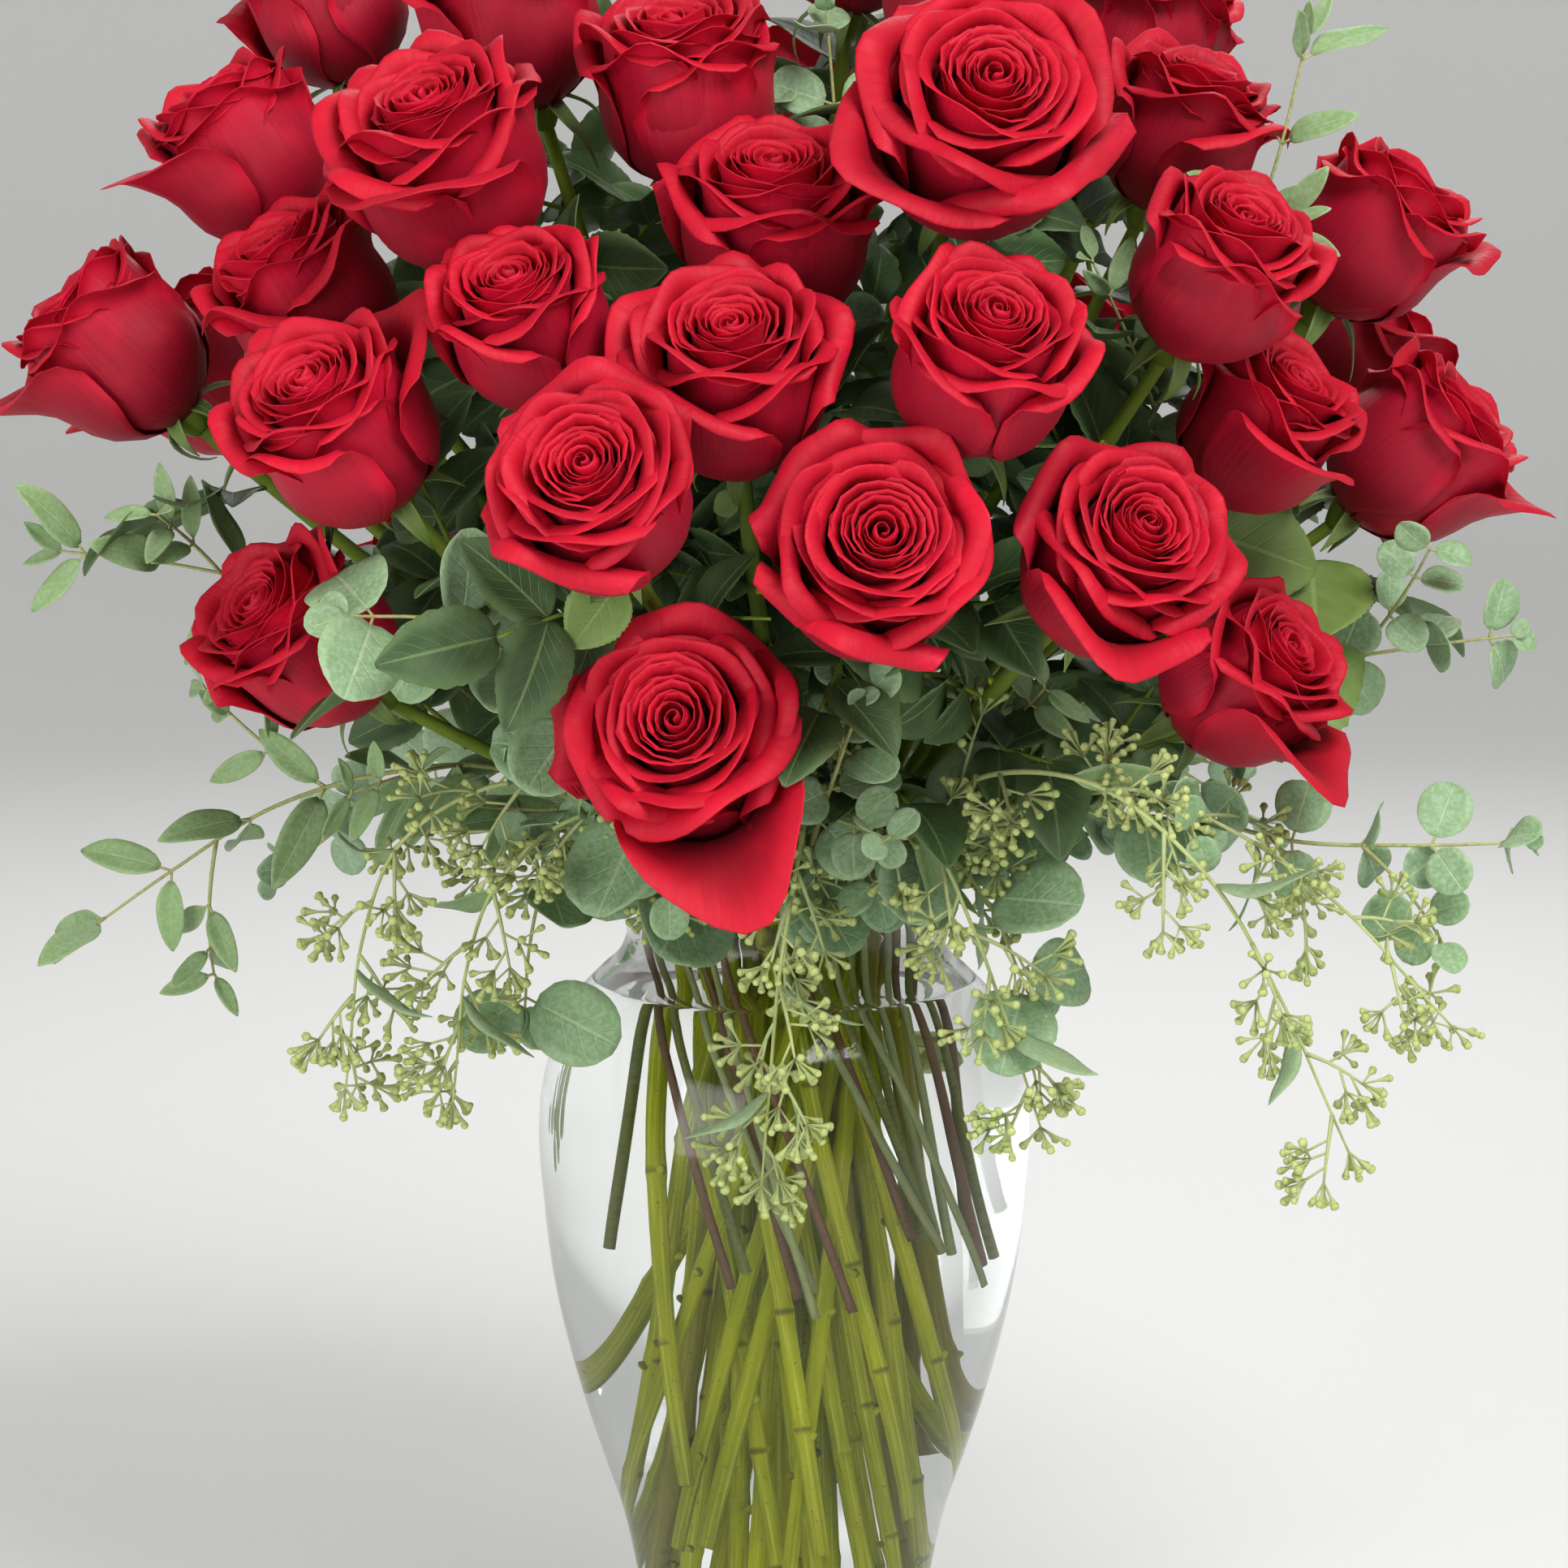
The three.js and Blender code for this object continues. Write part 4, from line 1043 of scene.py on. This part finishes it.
def stem_material(settings):
    """Smooth yellow-green stem skin, painted brighter than it is to stand in for light through the
    glass, and darker green above the vase: long streaks, the pale ones partly painted highlights,
    olive patches, and brown scars at joints.
    """
    paint = Paint("rose stem skin")
    u, v = paint.uv()
    joint, tone, upper = paint.marks()
    turn = u * (2 * math.pi)
    round_x, round_y = turn.math("COSINE"), turn.math("SINE")
    streak = paint.noise(1.0, 4.0, paint.vector(round_x * 3.5, round_y * 3.5, v * 26))
    patch = paint.noise(22.0, 3.0)
    speck = paint.noise(900.0, 1.0)
    side = paint.ease(round_x, -0.3, 0.8)
    scar = paint.ease(joint * (side * 0.55 + 0.5) + streak * 0.3 - 0.15, 0.6, 1.0)
    skin = paint.layers(
        # The base colour is painted brighter than the skin, standing in for the light that reaches
        # the stems through the glass.
        settings.stem_lit_colour,
        (paint.ease(patch, 0.35, 0.7), settings.stem_shade_colour),
        (paint.ease(tone, 0.4, 0.9) * 0.6, settings.stem_shade_colour),
        # Pale streaks: streaky skin, and painted highlights along the stem.
        (paint.ease(streak, 0.5, 0.65) * 0.6, PALE_STREAK_AND_HIGHLIGHT),
        (paint.ease(streak, 0.45, 0.3) * 0.4, OLIVE_STREAK),
        (paint.ease(tone, 0.84, 0.92) * 0.6, BROWN_SKIN),
        (upper * 0.85, DARK_GREEN_SKIN),
        (scar * 0.7, settings.scar_colour),
        (paint.ease(speck, 0.68, 0.75) * 0.5, settings.scar_colour))
    return paint.finish(Base_Color=skin, Roughness=0.32 + streak * 0.25,
                        Normal=paint.bump(streak + joint * 0.5, 0.4, 0.0004),
                        Specular_IOR_Level=0.06, Subsurface_Weight=0.06,
                        Subsurface_Radius=(0.6, 1.0, 0.1), Subsurface_Scale=0.002)


def leaf_material(name, colour, under=None):
    """A leaf: a pale midrib, side veins that run from it at a slant, a cloudy tone, a paler
    underside, and a chalky haze where the leaf has one."""
    listed_under, vein, veins, haze = LEAF_LOOKS[name]
    under = listed_under if under is None else under
    paint = Paint(name)
    u, v = paint.uv()
    margin, tone, back = paint.marks()
    away = abs(u - 0.5)
    rib = paint.ease(away, 0.035, 0.008)
    slant = (v * veins - away * (veins * 0.75)).math("FRACT")
    side = paint.ease(abs(slant - 0.5), 0.10, 0.02) * paint.ease(away, 0.5, 0.1)
    cloud = paint.noise(90.0, 4.0)
    fine = paint.noise(700.0, 2.0)
    face = paint.layers(
        colour,
        (back, under),
        (tone * 0.4, [0.55 * part for part in colour]),
        (paint.ease(cloud, 0.4, 0.7) * 0.35, under),
        (rib * 0.6 + side * 0.22, vein),
        (margin * 0.3, vein))
    if haze:
        face = paint.mix(paint.ease(fine, 0.35, 0.7) * haze, face, HAZE)
    height = rib * -0.8 - side * 0.5 + fine * 0.25
    return paint.finish(Base_Color=face, Roughness=0.42 + cloud * 0.2 + haze * 0.3,
                        Normal=paint.bump(height, 0.5, 0.0005), Specular_IOR_Level=0.4,
                        Subsurface_Weight=0.05, Subsurface_Radius=(0.5, 1.0, 0.3),
                        Subsurface_Scale=0.001)


def bud_material(settings):
    """Seeded eucalyptus: yellow-green twigs and buds with a paler cap and a darker seam."""
    paint = Paint("seeded eucalyptus buds")
    share, tone, _ = paint.marks()
    cloud = paint.noise(400.0, 3.0)
    seam = paint.ease(abs(share - 0.84), 0.05, 0.0)
    face = paint.layers(
        settings.bud_stalk_colour,
        (paint.ease(share, 0.4, 0.95), settings.bud_colour),
        (seam * 0.5, BUD_SEAM),
        (paint.ease(cloud, 0.4, 0.7) * 0.4, BUD_CLOUD),
        (tone * 0.3, BUD_SHADE))
    return paint.finish(Base_Color=face, Roughness=0.45 + cloud * 0.2,
                        Normal=paint.bump(cloud - seam, 0.3, 0.0003), Specular_IOR_Level=0.4)


def twig_material(settings):
    """Eucalyptus twigs: reddish brown near the vase, greener at the tip, finely ringed."""
    paint = Paint("eucalyptus twig bark")
    share, tone, _ = paint.marks()
    u, v = paint.uv()
    ring = paint.noise(1.0, 3.0, paint.vector(u * 3, v * 700, tone * 5))
    face = paint.layers(
        settings.twig_colour,
        (paint.ease(tone, 0.45, 0.55), OLIVE_BARK),
        (paint.ease(share, 0.3, 0.85), settings.twig_tip_colour),
        (paint.ease(ring, 0.45, 0.7) * 0.4, DARK_BARK))
    return paint.finish(Base_Color=face, Roughness=0.5 + ring * 0.2,
                        Normal=paint.bump(ring, 0.3, 0.0003))


def glass_material(settings):
    """Clear glass with the faint waviness of a pressed vase and a few dried water marks."""
    paint = Paint("clear vase glass")
    wave = paint.noise(9.0, 1.0)
    mark = paint.noise(60.0, 3.0)
    return paint.finish(Base_Color=(*settings.glass_tint, 1),
                        Roughness=paint.ease(mark, 0.62, 0.8) * 0.06,
                        Normal=paint.bump(wave, 0.08, 0.004), Transmission_Weight=1.0, IOR=1.5,
                        Specular_Tint=(0.3, 0.3, 0.3, 1))


def water_material(settings):
    """Still clear water with the slightest ripple."""
    paint = Paint("vase water")
    wave = paint.noise(30.0, 1.0)
    return paint.finish(Base_Color=(*settings.water_tint, 1), Roughness=0.0,
                        Normal=paint.bump(wave, 0.05, 0.002), Transmission_Weight=1.0,
                        IOR=1.333, Specular_Tint=(0.1, 0.1, 0.1, 1))


def floor_material(settings):
    """Matt pale paper with a soft tooth."""
    paint = Paint("studio floor")
    tooth = paint.noise(180.0, 3.0)
    face = paint.mix(tooth * 0.1, settings.floor_colour, FLOOR_TOOTH)
    return paint.finish(Base_Color=face, Roughness=0.75,
                        Normal=paint.bump(tooth, 0.05, 0.001))


# ---------------------------------------------------------------- settings


def colour_property(name, description, default):
    """A colour that the panel shows."""
    return bpy.props.FloatVectorProperty(name=name, description=description, default=default,
                                         subtype="COLOR", size=3, min=0, max=1)


class BouquetRoseSettings(bpy.types.PropertyGroup):
    """Colours of the roses."""

    petal_colour: colour_property("Petal", "Inside of a petal", (0.50, 0.002, 0.016))
    # The outside of a petal: a little pinker, and painted lighter, as if lit.
    petal_back_colour: colour_property("Petal back", "Outside of a petal", (0.58, 0.003, 0.032))
    # Painted highlight along a petal's margin; the same lighter red makes the pale blotches.
    petal_highlight_and_blotch_colour: colour_property("Petal highlight", "Painted highlight at a petal's edge, and blotches", (0.70, 0.006, 0.034))
    # Painted shade at the foot of a petal, deep in the cup; the same dark red draws the veins and
    # the darker petals.
    petal_shade_and_vein_colour: colour_property("Petal shade and veins", "Painted shade at a petal's foot, and veins", (0.11, 0.001, 0.006))
    # The stem's colour is painted brighter than its skin, standing in for the light that reaches
    # the stems through the glass; above the vase it turns darker green.
    stem_lit_colour: colour_property("Stem", "Stem skin", (0.64, 0.68, 0.02))
    stem_shade_colour: colour_property("Stem shade", "Darker stem skin", (0.38, 0.44, 0.015))
    scar_colour: colour_property("Scar", "Joints and scars", (0.12, 0.09, 0.02))
    leaf_colour: colour_property("Leaf", "Top of a rose leaf", (0.045, 0.095, 0.030))
    leaf_under_colour: colour_property("Leaf under", "Underside of a leaf", (0.11, 0.18, 0.07))


class BouquetEucalyptusSettings(bpy.types.PropertyGroup):
    """Sizes and colours of the eucalyptus."""

    round_length: bpy.props.FloatProperty(
        name="Round leaf", description="Length of the largest round leaf", default=0.027,
        min=0.005, max=0.05, unit="LENGTH")
    narrow_length: bpy.props.FloatProperty(
        name="Narrow leaf", description="Length of the largest narrow leaf", default=0.036,
        min=0.005, max=0.08, unit="LENGTH")
    round_colour: colour_property("Round leaf", "Top of a round leaf", (0.20, 0.34, 0.15))
    narrow_colour: colour_property("Narrow leaf", "Top of a narrow leaf", (0.21, 0.34, 0.12))
    bud_colour: colour_property("Bud", "Seeded buds", (0.47, 0.54, 0.19))
    bud_stalk_colour: colour_property("Bud stalk", "Stalks of the buds", (0.42, 0.48, 0.21))
    twig_colour: colour_property("Twig", "Bark near the vase", (0.24, 0.13, 0.06))
    twig_tip_colour: colour_property("Twig tip", "Bark at the tip", (0.36, 0.38, 0.14))


class BouquetVaseSettings(bpy.types.PropertyGroup):
    """The vase and its water."""

    water_level: bpy.props.FloatProperty(
        name="Water level", description="Height of the water above the table", default=0.243,
        min=0.05, max=0.25, unit="LENGTH")
    glass_tint: colour_property("Glass", "Tint of the glass", (0.985, 0.995, 0.99))
    water_tint: colour_property("Water", "Tint of the water", (0.99, 1.0, 0.995))


class BouquetStageSettings(bpy.types.PropertyGroup):
    """Floor and light."""

    floor_colour: colour_property("Floor", "Colour of the floor", (0.74, 0.74, 0.73))
    key_power: bpy.props.FloatProperty(
        name="Key light", description="Power of the key light", default=54, min=0,
        subtype="POWER")
    sky_strength: bpy.props.FloatProperty(
        name="Sky", description="Strength of the even light from all round", default=0.34,
        min=0)


# ---------------------------------------------------------------- operators


class BOUQUET_OT_blooms(bpy.types.Operator):
    """Makes the rose blooms, each a heart of coiled petals in a cup of rolled ones"""

    bl_idname = "bouquet.blooms"
    bl_label = "Rose Blooms"

    def execute(self, context):
        material = petal_material(context.scene.bouquet_roses)
        for index, (name, foot, facing, radius, opened) in enumerate(all_blooms()):
            sheaf = Sheaf()
            add_bloom(sheaf, foot, facing, radius, opened, np.random.default_rng(100 + index),
                      GUARDS.get(name))
            sheaf.build(f"{name}_petals", [material], "rose_petals", [name])
        return {"FINISHED"}


class BOUQUET_OT_stems(bpy.types.Operator):
    """Makes the rose stems with their joints, hips, sepals and leaves"""

    bl_idname = "bouquet.stems"
    bl_label = "Rose Stems and Leaves"

    def execute(self, context):
        settings = context.scene.bouquet_roses
        skin = stem_material(settings)
        leaf = leaf_material("rose leaf", settings.leaf_colour, settings.leaf_under_colour)
        sepal = leaf_material("rose sepal", SEPAL_COLOUR)
        for index, (name, foot, facing, radius, _) in enumerate(all_blooms()):
            rng = np.random.default_rng(300 + index)
            path = stem_path(name, foot, facing)
            stem, leaves = Sheaf(), Sheaf()
            add_stem(stem, path, rng)
            add_calyx(stem, foot, facing, radius, rng)
            stem.build(f"{name}_stem", [skin, sepal], "rose_stems", [name])
            add_rose_leaves(leaves, path, rng)
            if name in BROAD_LEAVES:
                tip = seen(*(MM * value for value in BROAD_LEAVES[name]))
                add_broad_leaf(leaves, path, tip, rng)
            if leaves.count:
                leaves.build(f"{name}_leaves", [leaf, skin, sepal], "rose_leaves", [name])
        return {"FINISHED"}


class BOUQUET_OT_leafy_sprigs(bpy.types.Operator):
    """Makes the round-leaved and narrow-leaved eucalyptus sprigs"""

    bl_idname = "bouquet.leafy_sprigs"
    bl_label = "Leafy Eucalyptus"

    def execute(self, context):
        settings = context.scene.bouquet_eucalyptus
        twig = twig_material(settings)
        long, narrow = settings.round_length, settings.narrow_length
        # For each kind its leaf, its slot and its sizes: the space from one pair of leaves to the
        # next and the turn between them, the least share of the size, how far a leaf leans ahead,
        # its stalk, outline and fold, and the number of side shoots.
        kinds = {
            "dollar": (leaf_material("round eucalyptus leaf", settings.round_colour),
                       "eucalyptus_round",
                       dict(spacing=0.019, turn=1.5, least=0.55, length=long,
                            width=0.9 * long, ahead=0.35, stalk=0.005, shape=(0.5, 0.5),
                            fold=0.1, shoots=3)),
            "willow": (leaf_material("narrow eucalyptus leaf", settings.narrow_colour),
                       "eucalyptus_narrow",
                       dict(spacing=0.022, turn=1.4, least=0.75, length=narrow,
                            width=0.36 * narrow, ahead=0.7, stalk=0.005, shape=(0.6, 0.8),
                            fold=0.12, shoots=4)),
        }
        names = sorted(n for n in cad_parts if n.split("_")[0] in kinds)
        for index, name in enumerate(names):
            kind = name.split("_")[0]
            leaf, slot, sizes = kinds[kind]
            # The sprigs at the neck and at the left front bear fewer and larger leaves.
            if "neck" in name or name == "dollar_left_front":
                sizes = {**sizes, "length": 1.4 * sizes["length"], "width": 1.35 * sizes["width"],
                         "least": 0.7, "spacing": 0.022, "shoots": 1}
            sheaf = Sheaf()
            add_leafy_sprig(sheaf, twig_path(name, 0), TWIG_RADIUS[kind], sizes,
                            np.random.default_rng(500 + index))
            sheaf.build(f"{name}_sprig", [leaf, twig], slot, [name])
        return {"FINISHED"}


class BOUQUET_OT_seeded_sprigs(bpy.types.Operator):
    """Makes the seeded eucalyptus sprigs with their umbels of buds"""

    bl_idname = "bouquet.seeded_sprigs"
    bl_label = "Seeded Eucalyptus"

    def execute(self, context):
        settings = context.scene.bouquet_eucalyptus
        buds = bud_material(settings)
        leaf = leaf_material("seeded eucalyptus leaf", settings.narrow_colour)
        names = sorted(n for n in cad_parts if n.startswith("seeded"))
        for index, name in enumerate(names):
            sheaf = Sheaf()
            add_seeded_sprig(sheaf, twig_path(name, 0.012), np.random.default_rng(700 + index))
            sheaf.build(f"{name}_sprig", [buds, leaf], "eucalyptus_seeded", [name])
        return {"FINISHED"}


class BOUQUET_OT_vase(bpy.types.Operator):
    """Makes the glass vase and the water in it"""

    bl_idname = "bouquet.vase"
    bl_label = "Vase and Water"

    def execute(self, context):
        settings = context.scene.bouquet_vase
        glass, water = Sheaf(), Sheaf()
        add_turned(glass, vase_profile(), 128)
        glass.build("vase_glass", [glass_material(settings)], "clear_glass", ["vase"])
        add_turned(water, water_profile(settings.water_level), 96)
        water.build("vase_water", [water_material(settings)], "water")
        return {"FINISHED"}


class BOUQUET_OT_stage(bpy.types.Operator):
    """Makes the floor, the lights and the camera"""

    bl_idname = "bouquet.stage"
    bl_label = "Stage"

    def execute(self, context):
        settings = context.scene.bouquet_stage
        scene = context.scene
        points, quads, cap = bowl(FLOOR_RADIUS, FLOOR_RISE, 96)
        mesh = bpy.data.meshes.new("floor")
        mesh.from_pydata(points.tolist(), [], quads.tolist() + cap.tolist())
        mesh.polygons.foreach_set("use_smooth", np.ones(len(mesh.polygons), bool))
        mesh.materials.append(floor_material(settings))
        floor = bpy.data.objects.new("floor", mesh)
        scene.collection.objects.link(floor)
        for name, place, size, share in LIGHTS:
            lamp = bpy.data.lights.new(name, "AREA")
            lamp.energy, lamp.size = share * settings.key_power, size
            light = bpy.data.objects.new(name, lamp)
            light.location = place
            light.rotation_euler = look_at(place, LIGHTS_AIM)
            scene.collection.objects.link(light)
        world = bpy.data.worlds.new("studio sky")
        world.use_nodes = True
        sky = world.node_tree.nodes["Background"]
        sky.inputs["Color"].default_value = (1, 1, 1, 1)
        sky.inputs["Strength"].default_value = settings.sky_strength
        scene.world = world
        lens = bpy.data.cameras.new("camera")
        lens.sensor_width = SENSOR_WIDTH
        lens.lens = SENSOR_WIDTH / 2 / math.tan(HALF_ANGLE)
        camera = bpy.data.objects.new("camera", lens)
        place = (0, -CAMERA_DISTANCE * math.cos(CAMERA_RISE),
                 AIM_HEIGHT + CAMERA_DISTANCE * math.sin(CAMERA_RISE))
        camera.location = place
        camera.rotation_euler = look_at(place, (0, 0, AIM_HEIGHT))
        scene.collection.objects.link(camera)
        scene.camera = camera
        scene.view_settings.view_transform = "Standard"
        return {"FINISHED"}


def bowl(flat, rise, sides):
    """A wide floor whose border curves up all round: a flat disc, then a quarter circle, then
    an upright wall. Its normals face up and inwards."""
    bend = np.linspace(0, math.pi / 2, 16)
    out = np.concatenate([np.linspace(0.2, flat, 8), flat + rise * np.sin(bend[1:]),
                          [flat + rise]])
    up = np.concatenate([np.zeros(8), rise * (1 - np.cos(bend[1:])), [2 * rise]])
    angle = np.linspace(0, 2 * math.pi, sides, endpoint=False)[:, None]
    rings = np.stack([out * np.cos(angle), out * np.sin(angle), up + 0 * angle], -1)
    first = np.arange(sides) * len(out)
    cap = np.stack([np.full(sides, sides * len(out)), first, np.roll(first, -1)], -1)
    quads = grid_faces(sides, len(out), wrap=True)[:, ::-1]
    return np.concatenate([rings.reshape(-1, 3), [(0, 0, 0)]]), quads, cap


def look_at(place, aim):
    """The turn, as Euler angles, that points -Z from a place at an aim with +Y upwards."""
    x, y, z = (a - p for a, p in zip(aim, place))
    flat = math.hypot(x, y)
    return (math.pi / 2 + math.atan2(z, flat), 0, math.atan2(-x, y))


class BOUQUET_PT_panel(bpy.types.Panel):
    """Lists the settings and the operators of the bouquet"""

    bl_idname = "BOUQUET_PT_panel"
    bl_label = "Roses in a Vase"
    bl_space_type = "VIEW_3D"
    bl_region_type = "UI"
    bl_category = "Bouquet"

    def draw(self, context):
        for kind in OPERATORS:
            self.layout.operator(kind.bl_idname)
        for holder, kind in SETTINGS.items():
            box = self.layout.box()
            for name in kind.__annotations__:
                box.prop(getattr(context.scene, holder), name)


SETTINGS = {
    "bouquet_roses": BouquetRoseSettings,
    "bouquet_eucalyptus": BouquetEucalyptusSettings,
    "bouquet_vase": BouquetVaseSettings,
    "bouquet_stage": BouquetStageSettings,
}
OPERATORS = (BOUQUET_OT_stage, BOUQUET_OT_vase, BOUQUET_OT_blooms, BOUQUET_OT_stems,
             BOUQUET_OT_leafy_sprigs, BOUQUET_OT_seeded_sprigs)


def register():
    """Adds the settings, the operators and the panel."""
    for kind in (*SETTINGS.values(), *OPERATORS, BOUQUET_PT_panel):
        bpy.utils.register_class(kind)
    for holder, kind in SETTINGS.items():
        setattr(bpy.types.Scene, holder, bpy.props.PointerProperty(type=kind))


def unregister():
    """Takes them away again."""
    for holder in SETTINGS:
        delattr(bpy.types.Scene, holder)
    for kind in (BOUQUET_PT_panel, *reversed(OPERATORS), *reversed(SETTINGS.values())):
        bpy.utils.unregister_class(kind)


def main():
    """Builds the whole bouquet."""
    register()
    for kind in OPERATORS:
        group, name = kind.bl_idname.split(".")
        getattr(getattr(bpy.ops, group), name)()


if __name__ == "__main__":
    main()
